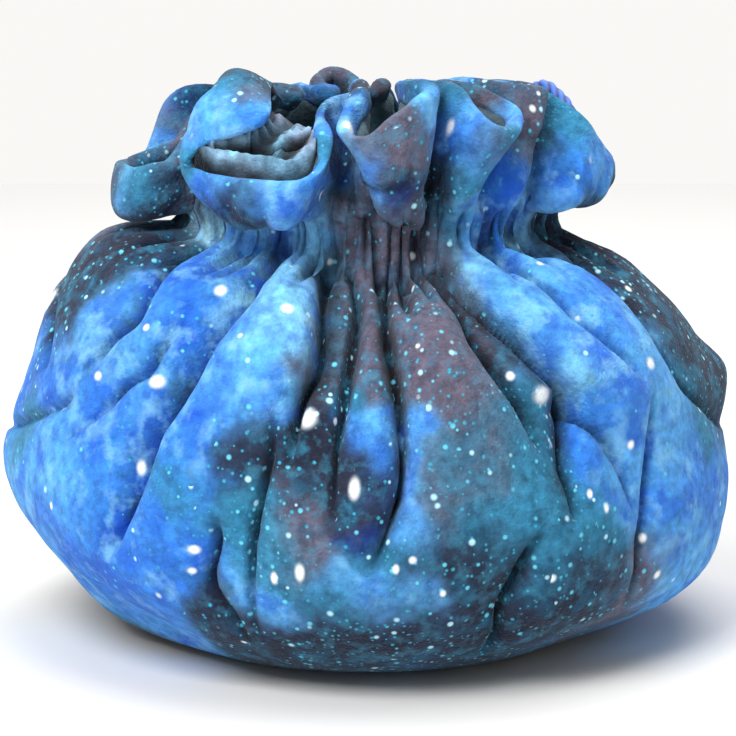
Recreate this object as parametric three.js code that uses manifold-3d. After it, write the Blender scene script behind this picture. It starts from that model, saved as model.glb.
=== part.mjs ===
// A gathered drawstring dice bag, drawn shut. Millimetres, +Z up, front towards -Y, right towards +X.
// Azimuths are degrees from the front, positive to the right. Height 0 is the floor it stands on.
import * as THREE from "three";
import { mergeVertices } from "three/addons/utils/BufferGeometryUtils.js";
import ManifoldModule from "manifold-3d";

const wasm = await ManifoldModule();
wasm.setup();

// Driving sizes of the pouch
const BASE_RADIUS = 47;
const BELLY_RADIUS = 83.5;
const BELLY_HEIGHT = 35;
const NECK_RADIUS = 45;
const NECK_HEIGHT = 94.5;
const NECK_TOP = 99.5;
const NECK_PINCH = 1.6;

// Driving sizes of the ruffle's cloth: an outer cloth and a lining, with a hem round the rim
const CLOTH = 0.9;
const LINING_CLOTH = 0.5;
const LAYER_GAP = 0.4;
const HEM_RISE = 1.2;
const HEM_SHARE = 0.92;
const LINING_TOP_SHARE = 0.87;
const THROAT_SHARE = 0.36;
const THROAT_FLOOR = NECK_TOP + 5;
const THROAT_RISE = 4;
const LINING_FOOT_SHARE = 0.25;
// Where the lining fills the hooded scroll, by neck azimuth, and how far it reaches to the middle in each row
const SCROLL_AZIMUTHS = [-60, -56, -11, -8];
const SCROLL_FILL = [0.6, 0.72, 0.62, 0];

// Driving sizes of the drawcord
const CORD_RADIUS = 1.5;
const CORD_SIDES = 8;
const EXIT_RADIUS = 2.0;
const EXIT_HEIGHT = (NECK_HEIGHT + NECK_TOP) / 2;
const EXIT_DEPTH_RADIUS = 36.5;
const CORD_START_RADIUS = 37.5;
const CORD_LIFT = 2.3;
const FLOOR_LIFT = 1.7;
const KNOT_RADIUS = 3.4;
const KNOT_LENGTH = 4.4;

// Mesh fineness
const COLUMNS = 184;
const BODY_ROWS = [0.06, 0.2186, 0.32, 0.41, 0.49, 0.56, 0.63, 0.69, 0.75, 0.81, 0.86, 0.91, 0.955, 1];
const COLLAR_ROWS = [0.5, 1];
const RUFFLE_ROWS = [0.18, THROAT_SHARE, 0.55, 0.75, HEM_SHARE, 1];
const CORD_STEPS = 76;

// The pouch's profile, radius and height, from the middle of the base to the neck
const PROFILE = [
  [0, 0], [30, 0], [BASE_RADIUS, 0], [66, 6], [79, 18], [BELLY_RADIUS, BELLY_HEIGHT],
  [81.5, 50], [78, 63], [72.5, 76], [63, 86], [53, 91.5], [NECK_RADIUS, NECK_HEIGHT],
];

// Slumps and bulges: azimuth, its half-width, share of the profile, its half-width, outward and upward offset
const BULGES = [
  [92, 36, 0.86, 0.13, 0, -3], [99, 13, 0.705, 0.05, 6.5, 1], [-80, 34, 0.46, 0.09, -4, 2.5],
  [-45, 20, 0.4, 0.08, -5, 1], [48, 18, 0.39, 0.08, -4, 1], [-78, 22, 0.95, 0.07, 2, 3],
  [85, 40, 0.46, 0.08, 1.5, -1], [-93, 16, 0.6, 0.07, 2, 0], [-18, 8, 0.82, 0.12, 3.5, 0],
  [-40, 7, 0.85, 0.1, 2.5, 0], [44, 12, 0.78, 0.12, 3, 0], [12, 6, 0.8, 0.12, 3, 0], [1, 3, 0.8, 0.1, 1.5, 0],
  [-80, 26, 0.86, 0.09, 1, 3.5],
];

// Creases of the front: the width left and right of the line, how far it leans under one side,
// and knots of profile share, azimuth and depth, from the lower end to the neck
const CREASE_GAIN = 1.05;
const CREASE_SOFTNESS = 0.7;
const FRONT_CREASES = [
  { left: 8, right: 2.2, lean: 3, knots: [[0.53, -43.5, 0], [0.605, -40, 6], [0.65, -38.5, 7.5], [0.695, -37, 8],
    [0.765, -32.5, 8], [0.835, -29.5, 10], [0.88, -26.5, 9], [0.92, -26, 5], [1, -25, 2]] },
  { left: 8, right: 6, lean: 0, knots: [[0.66, -56, 0], [0.71, -49.5, 2], [0.75, -45, 3], [0.77, -41.5, 3],
    [0.81, -39.5, 2], [0.88, -36, 0]] },
  { left: 8, right: 3, lean: 2, knots: [[0.74, -54, 0], [0.8, -51.5, 3], [0.84, -48.5, 4], [0.9, -50, 3.5],
    [0.97, -53, 3], [1, -55, 2]] },
  { left: 5, right: 5, lean: 0, knots: [[0.62, -98, 0], [0.64, -85.5, 2.5], [0.7, -62, 2], [0.73, -56, 0]] },
  { left: 6, right: 3, lean: 2, knots: [[0.73, -69, 0], [0.785, -75, 3.5], [0.87, -88.5, 4], [1, -92, 2]] },
  { left: 2.5, right: 6, lean: -3, knots: [[0.67, -12, 0], [0.735, -10.5, 4], [0.765, -9, 6], [0.79, -7.5, 7],
    [0.815, -7, 7.5], [0.855, -7, 7], [0.92, -8.5, 5], [1, -10.5, 3]] },
  { left: 4, right: 3, lean: 0, knots: [[0.6, -5, 0], [0.665, -5, 2], [0.71, -4.5, 3], [0.755, -3.5, 4],
    [0.805, -2.5, 4], [0.85, -2, 4], [0.92, -2, 4], [1, -4, 3]] },
  { left: 3, right: 6, lean: 1, knots: [[0.54, 0.5, 0], [0.605, 3, 3], [0.64, 4.5, 4], [0.675, 5, 4.5],
    [0.725, 5, 5], [0.77, 4.5, 5.5], [0.815, 4, 5.5], [0.895, 3.5, 4.5], [1, 5, 3]] },
  { left: 2.5, right: 2.5, lean: 0, knots: [[0.87, 8, 0], [0.925, 8, 2.5], [1, 8.5, 3]] },
  { left: 3, right: 4, lean: -1, knots: [[0.67, 28, 0], [0.73, 26, 2.5], [0.76, 24, 4], [0.795, 22, 5],
    [0.835, 20, 5], [0.88, 19, 4], [0.95, 17.5, 3], [1, 17, 2]] },
  { left: 7, right: 2.5, lean: 2.5, knots: [[0.59, 32, 0], [0.63, 32, 3], [0.66, 31.5, 6], [0.7, 33, 8],
    [0.73, 34.5, 8.5], [0.755, 34, 8], [0.795, 30, 7.5], [0.835, 27, 7], [0.88, 23.5, 6], [0.93, 21, 5],
    [0.975, 20.5, 4], [1, 19.5, 3]] },
  { left: 5, right: 4, lean: 0, knots: [[0.59, 45, 0], [0.635, 43.5, 2], [0.685, 40.5, 4], [0.72, 36.5, 5],
    [0.735, 35, 5], [0.76, 34, 0]] },
  { left: 3, right: 3, lean: 0, knots: [[0.73, 49, 0], [0.78, 46.5, 1], [0.81, 43.5, 1.8], [0.845, 40.5, 2.2],
    [0.89, 39.5, 2.2], [0.93, 38, 2], [1, 37, 2]] },
  { left: 3, right: 8, lean: -2, knots: [[0.62, 96, 0], [0.66, 80, 2], [0.72, 67, 3.5], [0.755, 64, 4],
    [0.8, 62, 4], [0.885, 63, 4], [0.95, 60, 3.5], [0.985, 52, 3], [1, 50, 2]] },
  { left: 6, right: 4, lean: 0, knots: [[0.43, -20, 0], [0.47, -22.5, 2], [0.49, -24.5, 3.5], [0.515, -25.5, 4],
    [0.57, -23.5, 3], [0.61, -23, 0]] },
  { left: 6, right: 3, lean: 1.5, knots: [[0.39, 21, 0], [0.435, 21.5, 2], [0.485, 21, 4], [0.52, 22.5, 4],
    [0.55, 24, 3], [0.59, 26, 0]] },
  { left: 9, right: 9, lean: 0, knots: [[0.46, 47, 0], [0.515, 47, 2], [0.55, 47, 3], [0.62, 49, 3.5],
    [0.675, 50.5, 2.5], [0.74, 51, 0]] },
  { left: 10, right: 10, lean: 0, knots: [[0.44, -18, 0], [0.52, -18, 2], [0.6, -17, 3], [0.68, -15, 2],
    [0.75, -14, 0]] },
];
const BACK_CREASES = 17;
const NECK_PLEATS = 44;

// The ruffle's inner bends: neck azimuth, rim azimuth and the rim's rise above the neck
const BENDS = [
  [-104, -106, 21.5], [-80, -81.5, 22.5], [-61, -65, 22.5], [-7.5, -9, 24.5], [16.8, 22, 26.5],
  [34.5, 46, 25.5], [50.3, 69, 24.5], [102, 104, 21.5],
];
const BEND_RADIUS = 22;
const BEND_OUT = -7;
const BEND_UP = 14;
// Each lobe's root beside a bend: share of the way to the lobe's first row, rim radius, turn, outward offset
const ROOT_ROWS = [[0.33, 27, 5.8, -3], [0.68, 36, 5.2, 2]];
const ROOT_UP = 12;
const ROOT_RISE = 1.5;

// Rows of each lobe between two bends: neck azimuth, rim radius, rim azimuth, the rim's rise above the neck,
// and the fold's control point from the neck: outward, upward and sideways
const LOBES = [
  [[-99, 42, -104, 17.5, 8, 3, 0], [-95, 45, -98, 18, 13, 2, 0], [-90.5, 45, -92, 21, 14, 4, 0],
    [-87, 41, -87, 25, 11, 8, 0], [-84.5, 35, -87, 25, 4, 12, 0]],
  [[-77, 43, -72, 15, 4, 7, 0], [-75.5, 49, -75, 11.5, 7, 3, -2], [-74, 51.5, -80, 10, 8, 2, -3],
    [-72.4, 55, -83.5, 8.5, 13, -3, -4], [-70.4, 57, -79, 8, 18, -7, -2],
    [-68, 56, -71, 7.5, 18, -7, -1], [-65.5, 53, -65, 8, 14, -5, 0],
    [-63.8, 47.5, -64, 10.5, 7, 2, 0]],
  // the hooded scroll at the front left, whose upper lip rolls forward over its mouth
  [[-58.5, 27, -54, 26.5, -5, 28, 1], [-57, 33, -42, 27, -2, 38, -1], [-55.5, 40, -33, 25.5, 0, 42, -3],
    [-54, 46, -28, 23.5, 0, 42, -4], [-52.5, 50, -28, 21.8, 1, 42, -4], [-51, 52.5, -33, 20, 2, 40, -4],
    [-49, 54, -39.5, 17.5, 4, 34, -5], [-46.3, 55, -45, 13.5, 7, 24, -7], [-42.5, 55.5, -43, 11, 12, 9, -5],
    [-37, 57, -33, 9.2, 15, 0, -2], [-29, 57.5, -23, 8.1, 15, -3, 0], [-21, 57, -16, 8.5, 15, -3, 0],
    [-16, 54.5, -11.3, 12, 13, 0, 0], [-13.5, 51, -10, 16, 8, 6, 0], [-12, 45, -12.5, 19.5, 4, 11, 0],
    [-10.7, 37, -16.5, 22.5, 1, 14, 0], [-9.5, 28, -17, 24, -3, 15, 0]],
  [[3, 46, -6.5, 20.5, 4, 6, 0], [4.5, 51, -4.5, 19, 12, 0, 0], [6.5, 54.5, 0, 18.8, 15, -3, 0],
    [8.8, 54.5, 5.4, 22, 15, -3, 0], [11, 52.5, 11, 25.5, 14, -3, 0], [12.6, 48, 16.5, 27, 9, 2, 0],
    [13.6, 41, 19, 27.5, 4, 9, 0]],
  [[20, 42, 29, 26, 2, 12, 0], [22, 48, 29.5, 23, 5, 11, 0], [24.5, 52.5, 30.5, 20.3, 7, 10, 0],
    [27, 54, 33.5, 19.3, 7, 10, 0], [29, 52, 38.5, 21, 6, 11, 0], [30.5, 46.5, 43, 23.5, 4, 12, 0]],
  [[38.5, 41, 51, 27, 5, 9, 0], [41.5, 43.5, 56.5, 26.5, 6, 8, 0], [45, 43.5, 61.5, 25.5, 6, 8, 0]],
  [[56, 47.5, 68, 22, 8, 2, -3], [58.5, 52, 67, 19, 13, -1, -6], [62, 54, 69, 16, 14, -2, -6],
    [68, 55, 75, 12, 15, 0, -3], [76, 55, 82, 9, 15, 2, 0], [84, 53.5, 89.5, 8, 14, 2, 0],
    [91, 51, 96, 10, 11, 3, 0], [96, 45.5, 99.5, 14.5, 5, 5, 0]],
];
const HOOD_LOBE = 2;
// Lobes round the back: rim radius and the rim's rise above the neck at the tip
const BACK_TIPS = [[49, 17.5], [51, 14.5], [50, 14.5], [44, 24.5], [53, 9.5], [50, 15.5]];
const BACK_RIM_RISE = 22.5;

const rad = THREE.MathUtils.degToRad;
const turnOf = (degrees) => ((((degrees + 180) % 360) + 360) % 360) - 180;
const polar = (r, az, z) => new THREE.Vector3(r * Math.sin(rad(az)), -r * Math.cos(rad(az)), z);

// A fixed, even-looking variation between 0 and 1
function vary(k, step) {
  const value = Math.sin(k * 12.9898 + step * 78.233) * 43758.5453;
  return value - Math.floor(value);
}

// A smooth curve through knots: xs rise, and each entry of ys is a list of values
function smooth(x, xs, ys) {
  const last = xs.length - 1;
  const at = Math.min(Math.max(x, xs[0]), xs[last]);
  let i = 0;
  while (i < last - 1 && at >= xs[i + 1]) i += 1;
  const slope = (k, c) => {
    const a = Math.max(k - 1, 0);
    const b = Math.min(k + 1, last);
    return (ys[b][c] - ys[a][c]) / (xs[b] - xs[a]);
  };
  const h = xs[i + 1] - xs[i];
  const s = (at - xs[i]) / h;
  const a = 2 * s ** 3 - 3 * s ** 2 + 1;
  const b = (s ** 3 - 2 * s ** 2 + s) * h;
  const c = (s ** 3 - s ** 2) * h;
  return ys[i].map((value, k) => a * value + b * slope(i, k) + (1 - a) * ys[i + 1][k] + c * slope(i + 1, k));
}

function straight(x, xs, ys) {
  let i = 0;
  while (i < xs.length - 2 && x >= xs[i + 1]) i += 1;
  const s = Math.min(Math.max((x - xs[i]) / (xs[i + 1] - xs[i]), 0), 1);
  return ys[i] + (ys[i + 1] - ys[i]) * s;
}

// Every crease as widths, lean and knots split into lists
function allCreases() {
  const creases = [...FRONT_CREASES];
  for (let k = 0; k < BACK_CREASES; k += 1) {
    const az = 104 + (152 * (k + 0.5)) / BACK_CREASES + 5 * (vary(k, 1) - 0.5);
    const drift = 9 * (vary(k, 2) - 0.5);
    const end = 0.52 + 0.25 * vary(k, 3);
    const deep = 3.5 + 4 * vary(k, 4);
    const side = vary(k, 5) > 0.5 ? 1 : -1;
    creases.push({ left: 5 - 2.2 * side, right: 5 + 2.2 * side, lean: -1.5 * side, knots: [
      [end, az + drift, 0], [0.5 * (0.85 + end), az + 0.8 * drift, 0.8 * deep], [0.85, az + 0.5 * drift, deep],
      [0.92, az + 0.2 * drift, 0.7 * deep], [1, az, 2.5]] });
  }
  for (let k = 0; k < NECK_PLEATS; k += 1) {
    const az = (360 * (k + 0.7 * (vary(k, 6) - 0.5))) / NECK_PLEATS;
    creases.push({ left: 1.8, right: 1.8, lean: 0, knots: [
      [0.94 - 0.05 * vary(k, 7), az + 2 * (vary(k, 8) - 0.5), 0], [0.965, az, 1.8], [1, az, 2.2]] });
  }
  return creases.map((crease) => ({
    ...crease,
    shares: crease.knots.map((knot) => knot[0]),
    paths: crease.knots.map((knot) => [knot[1]]),
    depths: crease.knots.map((knot) => knot[2]),
  }));
}

const CREASES = allCreases();
const PROFILE_SHARES = profileShares();

function profileShares() {
  const arc = [0];
  for (let i = 1; i < PROFILE.length; i += 1) {
    arc.push(arc[i - 1] + Math.hypot(PROFILE[i][0] - PROFILE[i - 1][0], PROFILE[i][1] - PROFILE[i - 1][1]));
  }
  return arc.map((length) => length / arc[arc.length - 1]);
}

// A point of the pouch at a neck azimuth and a share of the profile, lifted off it and with or without creases
function pouch(az, share, lift = 0, creased = true) {
  const [r0, z0] = smooth(share, PROFILE_SHARES, PROFILE);
  const low = smooth(Math.max(share - 0.001, 0), PROFILE_SHARES, PROFILE);
  const high = smooth(Math.min(share + 0.001, 1), PROFILE_SHARES, PROFILE);
  const length = Math.hypot(high[0] - low[0], high[1] - low[1]);
  const outward = (high[1] - low[1]) / length;
  const upward = -(high[0] - low[0]) / length;
  let r = r0;
  let z = z0;
  for (const [azimuth, width, middle, reach, out, up] of BULGES) {
    const weight = Math.exp(-((turnOf(az - azimuth) / width) ** 2) - ((share - middle) / reach) ** 2);
    r += out * weight;
    z += up * weight;
  }
  let inward = -lift;
  let sideways = 0;
  for (const crease of creased ? CREASES : []) {
    const { shares, paths, depths, left, right, lean } = crease;
    if (share < shares[0] || share > shares[shares.length - 1]) continue;
    const across = rad(turnOf(az - smooth(share, shares, paths)[0])) * Math.max(r, 20);
    const away = Math.sqrt(across ** 2 + CREASE_SOFTNESS ** 2) - CREASE_SOFTNESS;
    const depth = straight(share, shares, depths) * Math.exp(-away / (across < 0 ? left : right));
    inward += CREASE_GAIN * depth;
    sideways += (lean * depth) / 8;
  }
  r = Math.max(r - outward * inward, 0);
  z = Math.max(z - upward * inward, 0);
  return polar(r, az + THREE.MathUtils.radToDeg(sideways / Math.max(r, 20)), z);
}

// All rows of the rim in order round the neck
function rimRows() {
  const bends = [...BENDS];
  const lobes = [...LOBES];
  const first = BENDS[BENDS.length - 1];
  const neckStep = (BENDS[0][0] + 360 - first[0]) / BACK_TIPS.length;
  const rimStep = (BENDS[0][1] + 360 - first[1]) / BACK_TIPS.length;
  BACK_TIPS.forEach(([tip, rise], k) => {
    const az = first[0] + neckStep * (k + 0.5);
    const rimAz = first[1] + rimStep * (k + 0.5);
    const drop = BACK_RIM_RISE - rise;
    const out = 13 + 0.4 * drop;
    const up = 4 - drop;
    const side = (turn) => [az + 0.24 * turn * neckStep, 0.91 * tip, rimAz + 0.24 * turn * neckStep,
      BACK_RIM_RISE - 0.6 * drop, 0.8 * out, 0.3 * up + 4, 0];
    lobes.push([side(-1), [az, tip, rimAz, rise, out, up, 0], side(1)]);
    if (k > 0) bends.push([first[0] + neckStep * k, first[1] + rimStep * k, BENDS[0][2]]);
  });
  const rows = [];
  bends.forEach((bend, k) => {
    const next = bends[k + 1] ?? [bends[0][0] + 360, bends[0][1] + 360, bends[0][2]];
    const lobe = lobes[k];
    const lead = lobe[0][0] - bend[0];
    const trail = next[0] - lobe[lobe.length - 1][0];
    rows.push([bend[0], BEND_RADIUS, bend[1], bend[2], BEND_OUT, BEND_UP, 0]);
    const roots = k === HOOD_LOBE ? [] : ROOT_ROWS;
    for (const [share, r, turn, out] of roots) {
      rows.push([bend[0] + share * lead, r, bend[1] + turn, bend[2] + ROOT_RISE, out, ROOT_UP, 0]);
    }
    rows.push(...lobe);
    for (const [share, r, turn, out] of [...roots].reverse()) {
      rows.push([next[0] - share * trail, r, next[1] - turn, next[2] + ROOT_RISE, out, ROOT_UP, 0]);
    }
  });
  return rows;
}

// The rim as a closed curve over the neck azimuth: point, then the control point's three offsets
const RIM_KNOTS = [];
const RIM_VALUES = [];
const RIM_ROWS = rimRows();
for (let k = -3; k < RIM_ROWS.length + 3; k += 1) {
  const count = RIM_ROWS.length;
  const row = RIM_ROWS[(k + count) % count];
  const point = polar(row[1], row[2], NECK_TOP + row[3]);
  RIM_KNOTS.push(row[0] + 360 * Math.floor(k / count));
  RIM_VALUES.push([point.x, point.y, point.z, row[4], row[5], row[6]]);
}
const rimAt = (az) => smooth(az, RIM_KNOTS, RIM_VALUES);

// Neck azimuths of the columns, shared between the neck, the rim and a finer front
function columnAzimuths(count) {
  const fine = 3600;
  const start = BENDS[0][0];
  const along = [];
  const front = [];
  let before = rimAt(start);
  for (let i = 0; i < fine; i += 1) {
    const az = start + (360 * (i + 1)) / fine;
    const here = rimAt(az);
    along.push(Math.hypot(here[0] - before[0], here[1] - before[1], here[2] - before[2]));
    front.push(1 + 1.2 * Math.exp(-((az / 45) ** 2)));
    before = here;
  }
  const total = (list) => list.reduce((sum, value) => sum + value, 0);
  const alongTotal = total(along);
  const frontTotal = total(front);
  const azimuths = [];
  let passed = 0;
  for (let i = 0; i < fine && azimuths.length < count; i += 1) {
    const step = 0.5 * (along[i] / alongTotal + front[i] / frontTotal);
    while (azimuths.length < count && azimuths.length / count < passed + step) {
      const share = (azimuths.length / count - passed) / step;
      azimuths.push(start + (360 * (i + share)) / fine);
    }
    passed += step;
  }
  return azimuths;
}

// A point of the ruffle's middle surface: share 0 at the neck point, 1 at the rim
function ruffle(az, share, neck) {
  const [x, y, z, out, up, side] = rimAt(az);
  const control = neck.clone();
  control.x += out * Math.sin(rad(az)) + side * Math.cos(rad(az));
  control.y += -out * Math.cos(rad(az)) + side * Math.sin(rad(az));
  control.z += up;
  return new THREE.Vector3()
    .addScaledVector(neck, (1 - share) ** 2)
    .addScaledVector(control, 2 * share * (1 - share))
    .addScaledVector(new THREE.Vector3(x, y, z), share ** 2);
}

// The pouch, the collar and the ruffle's middle surface as rows of points
const AZIMUTHS = columnAzimuths(COLUMNS);
const pouchRows = BODY_ROWS.map((share) => AZIMUTHS.map((az) => pouch(az, share)));
const pouchTop = pouchRows[pouchRows.length - 1];
const collarRows = COLLAR_ROWS.map((share) => pouchTop.map((point) => {
  const r = Math.hypot(point.x, point.y);
  const scale = (r - NECK_PINCH * Math.sin(Math.PI * share)) / r;
  return new THREE.Vector3(point.x * scale, point.y * scale, point.z + (NECK_TOP - point.z) * share);
}));
const neckRow = collarRows[collarRows.length - 1];
const middleRows = RUFFLE_ROWS.map((share) => AZIMUTHS.map((az, j) => ruffle(az, share, neckRow[j])));

// The cloth's outward direction at each point of the middle surface, and its direction towards the rim
const normalRows = [];
const risingRows = [];
middleRows.forEach((row, i) => {
  const below = i > 0 ? middleRows[i - 1] : neckRow;
  const above = middleRows[Math.min(i + 1, middleRows.length - 1)];
  const rising = row.map((point, j) => above[j].clone().sub(below[j]).normalize());
  normalRows.push(row.map((point, j) => {
    const across = row[(j + 1) % COLUMNS].clone().sub(row[(j + COLUMNS - 1) % COLUMNS]);
    return across.cross(rising[j]).normalize();
  }));
  risingRows.push(rising);
});

const OUTER_SIDE = CLOTH + LAYER_GAP / 2;
const offsetRow = (i, distance) => middleRows[i].map((p, j) => p.clone().addScaledVector(normalRows[i][j], distance));
const RIM_ROW = RUFFLE_ROWS.length - 1;
const HEM_ROW = RIM_ROW - 1;

// A closed surface from rows of points: the rows form a loop, or end in a point at each end
function closedGeometry(rows, ends) {
  const points = rows.flat();
  const faces = [];
  const strips = ends ? rows.length - 1 : rows.length;
  for (let i = 0; i < strips; i += 1) {
    const lower = i * COLUMNS;
    const upper = ((i + 1) % rows.length) * COLUMNS;
    for (let j = 0; j < COLUMNS; j += 1) {
      const k = (j + 1) % COLUMNS;
      faces.push(lower + j, lower + k, upper + k, lower + j, upper + k, upper + j);
    }
  }
  if (ends) {
    const bottom = points.length;
    const top = bottom + 1;
    const last = (rows.length - 1) * COLUMNS;
    points.push(...ends);
    for (let j = 0; j < COLUMNS; j += 1) {
      const k = (j + 1) % COLUMNS;
      faces.push(bottom, k, j, top, last + j, last + k);
    }
  }
  const geometry = new THREE.BufferGeometry();
  geometry.setAttribute("position", new THREE.Float32BufferAttribute(points.flatMap((p) => [p.x, p.y, p.z]), 3));
  geometry.setIndex(faces);
  return geometry;
}

function solidFrom(geometry) {
  const bare = new THREE.BufferGeometry().setAttribute("position", geometry.getAttribute("position"));
  if (geometry.index) bare.setIndex(geometry.index);
  const merged = mergeVertices(bare, 1e-4);
  return new wasm.Manifold(new wasm.Mesh({
    numProp: 3,
    vertProperties: new Float32Array(merged.getAttribute("position").array),
    triVerts: new Uint32Array(merged.index.array),
  }));
}

function geometryFrom(solid) {
  const mesh = solid.getMesh();
  const geometry = new THREE.BufferGeometry();
  geometry.setAttribute("position", new THREE.Float32BufferAttribute(mesh.vertProperties, 3));
  geometry.setIndex(Array.from(mesh.triVerts));
  return geometry;
}

// The outer bag: pouch, collar and outer cloth of the ruffle, over the hem and down to the closed throat
const outerRows = RUFFLE_ROWS.map((share, i) => offsetRow(i, OUTER_SIDE * Math.min(share / 0.4, 1)));
const rimTop = middleRows[RIM_ROW].map((p, j) => p.clone().addScaledVector(risingRows[RIM_ROW][j], HEM_RISE));
const innerRows = [];
for (let i = HEM_ROW; i > 0; i -= 1) innerRows.push(offsetRow(i, LAYER_GAP / 2));
const throat = innerRows[innerRows.length - 1];
const throatFloor = throat.map((point, j) => {
  const az = THREE.MathUtils.radToDeg(Math.atan2(point.x, -point.y));
  const r = Math.min(Math.hypot(neckRow[j].x, neckRow[j].y), Math.hypot(point.x, point.y)) - 3;
  return polar(r, az, THREE.MathUtils.clamp(point.z - 0.8, THROAT_FLOOR, THROAT_FLOOR + THROAT_RISE));
});
const outerGeometry = closedGeometry(
  [...pouchRows, ...collarRows, ...outerRows, rimTop, offsetRow(RIM_ROW, -OUTER_SIDE),
    offsetRow(HEM_ROW, -OUTER_SIDE), ...innerRows, throatFloor],
  [new THREE.Vector3(0, 0, 0), new THREE.Vector3(0, 0, THROAT_FLOOR - 2)],
);

// The ruffle's lining, from just under the hem to the throat
const hemShare = (LINING_TOP_SHARE - RUFFLE_ROWS[HEM_ROW - 1]) / (HEM_SHARE - RUFFLE_ROWS[HEM_ROW - 1]);
const liningSide = (distance) => {
  const rows = [];
  for (let i = 1; i < HEM_ROW; i += 1) rows.push(offsetRow(i, -distance));
  rows[0] = rows[0].map((p, j) => p.lerp(rows[1][j], LINING_FOOT_SHARE));
  const under = offsetRow(HEM_ROW - 1, -distance);
  rows.push(offsetRow(HEM_ROW, -distance).map((p, j) => under[j].clone().lerp(p, hemShare)));
  return rows;
};

// In the hooded scroll the lining bunches up towards the mouth's middle and all but fills it
const scrollShare = (az) => straight(az, SCROLL_AZIMUTHS, [0, 1, 1, 0]);
const scrollWeight = AZIMUTHS.reduce((sum, az) => sum + scrollShare(az), 0);
const bunched = (rows) => rows.map((row, i) => {
  const middle = new THREE.Vector3();
  row.forEach((p, j) => middle.addScaledVector(p, scrollShare(AZIMUTHS[j]) / scrollWeight));
  return row.map((p, j) => p.clone().lerp(middle, SCROLL_FILL[i] * scrollShare(AZIMUTHS[j])));
});
const liningInside = bunched(liningSide(LAYER_GAP / 2 + LINING_CLOTH));
const liningGeometry = closedGeometry([...liningSide(LAYER_GAP / 2), ...liningInside.reverse()]);

// The drawcord's two tails: out of the neck at the back right, over the shoulder and down to the floor
const tails = {
  drawcord_tail_upper: {
    exit: 101.5,
    neck: [[47.8, 102, -1.3], [50.2, 103.2, 3.5], [51, 104.6, 11.5], [49.2, 107.8, 19.4], [47.7, 112.2, 22.4],
      [46.6, 115.4, 23.9], [46.2, 119.8, 23.4], [47, 124.5, 21], [50.5, 128.5, 15.5], [57, 132, 8]],
    shoulder: [[136, 0.9], [138, 0.85], [140, 0.78], [142, 0.7], [144, 0.62], [146, 0.55]],
    hanging: [[86, 148, 14], [91, 151, 4]],
    floor: [[40, 91], [29, 101], [10, 107], [-6, 108]],
    end: [[-16, 107.5], [-26, 106]],
  },
  drawcord_tail_lower: {
    exit: 107.5,
    neck: [[46.9, 108.4, -3], [47.8, 113, -3.7], [48.3, 120, -4], [48.4, 128, -4.1], [48.9, 136, -4.2]],
    shoulder: [[142, 0.955], [147, 0.91], [151, 0.85], [154, 0.78], [156, 0.7], [158, 0.62], [160, 0.55]],
    hanging: [[86, 163, 14], [91, 167, 4]],
    floor: [[9, 94], [-10, 97.5], [-30, 99.5], [-46, 99]],
    end: [[-57, 96], [-66, 91.5]],
  },
};

function tailRoute({ exit, neck, shoulder, hanging, floor, end }) {
  return [
    polar(CORD_START_RADIUS, exit, EXIT_HEIGHT),
    polar(NECK_RADIUS - 0.5, exit, EXIT_HEIGHT),
    ...neck.map(([r, az, rise]) => polar(r, az, NECK_TOP + rise)),
    ...shoulder.map(([az, share]) => pouch(az, share, CORD_LIFT, false)),
    ...hanging.map((place) => polar(...place)),
    ...floor.map(([x, y]) => new THREE.Vector3(x, y, FLOOR_LIFT)),
    new THREE.Vector3(...end[0], KNOT_RADIUS + 0.2),
    new THREE.Vector3(...end[1], FLOOR_LIFT),
  ];
}

function tailGeometry(tail) {
  const route = tailRoute(tail);
  const section = new THREE.Shape();
  for (let i = 0; i < CORD_SIDES; i += 1) {
    const angle = (2 * Math.PI * i) / CORD_SIDES;
    section[i ? "lineTo" : "moveTo"](CORD_RADIUS * Math.cos(angle), CORD_RADIUS * Math.sin(angle));
  }
  section.closePath();
  const curve = new THREE.CatmullRomCurve3(route, false, "centripetal");
  const tube = new THREE.ExtrudeGeometry(section, { steps: CORD_STEPS, bevelEnabled: false, extrudePath: curve });
  const along = new THREE.Vector3(tail.end[1][0] - tail.end[0][0], tail.end[1][1] - tail.end[0][1], 0).normalize();
  const knot = new THREE.SphereGeometry(KNOT_RADIUS, 12, 8);
  knot.scale(KNOT_LENGTH / KNOT_RADIUS, 1, 1);
  knot.rotateZ(Math.atan2(along.y, along.x));
  knot.translate(tail.end[0][0], tail.end[0][1], KNOT_RADIUS + 0.2);
  return geometryFrom(solidFrom(tube).add(solidFrom(knot)));
}

// Round exits for the tails in the collar
function exitCutter(az) {
  const length = NECK_RADIUS + 2.5 - EXIT_DEPTH_RADIUS;
  const cutter = new THREE.CylinderGeometry(EXIT_RADIUS, EXIT_RADIUS, length, 12);
  cutter.translate(0, -(EXIT_DEPTH_RADIUS + length / 2), 0);
  cutter.rotateZ(rad(az));
  cutter.translate(0, 0, EXIT_HEIGHT);
  return solidFrom(cutter);
}
let outerSolid = solidFrom(outerGeometry);
for (const tail of Object.values(tails)) outerSolid = outerSolid.subtract(exitCutter(tail.exit));
// The lining is trimmed to the outer cloth in its tightest folds
const largestBody = (solid) => solid.decompose().sort((a, b) => b.volume() - a.volume())[0];
const liningSolid = largestBody(solidFrom(liningGeometry).subtract(outerSolid));

const part = new THREE.Group();
part.name = "gathered_dice_bag";

function addMesh(name, geometry, color) {
  geometry.computeVertexNormals();
  const mesh = new THREE.Mesh(geometry, new THREE.MeshStandardMaterial({ color, roughness: 0.95, metalness: 0 }));
  mesh.name = name;
  part.add(mesh);
}

addMesh("outer_bag", geometryFrom(outerSolid), 0x2f74b8);
addMesh("ruffle_lining", geometryFrom(liningSolid), 0x3d4450);
for (const [name, tail] of Object.entries(tails)) addMesh(name, tailGeometry(tail), 0x2b45b4);

export default part;
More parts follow.
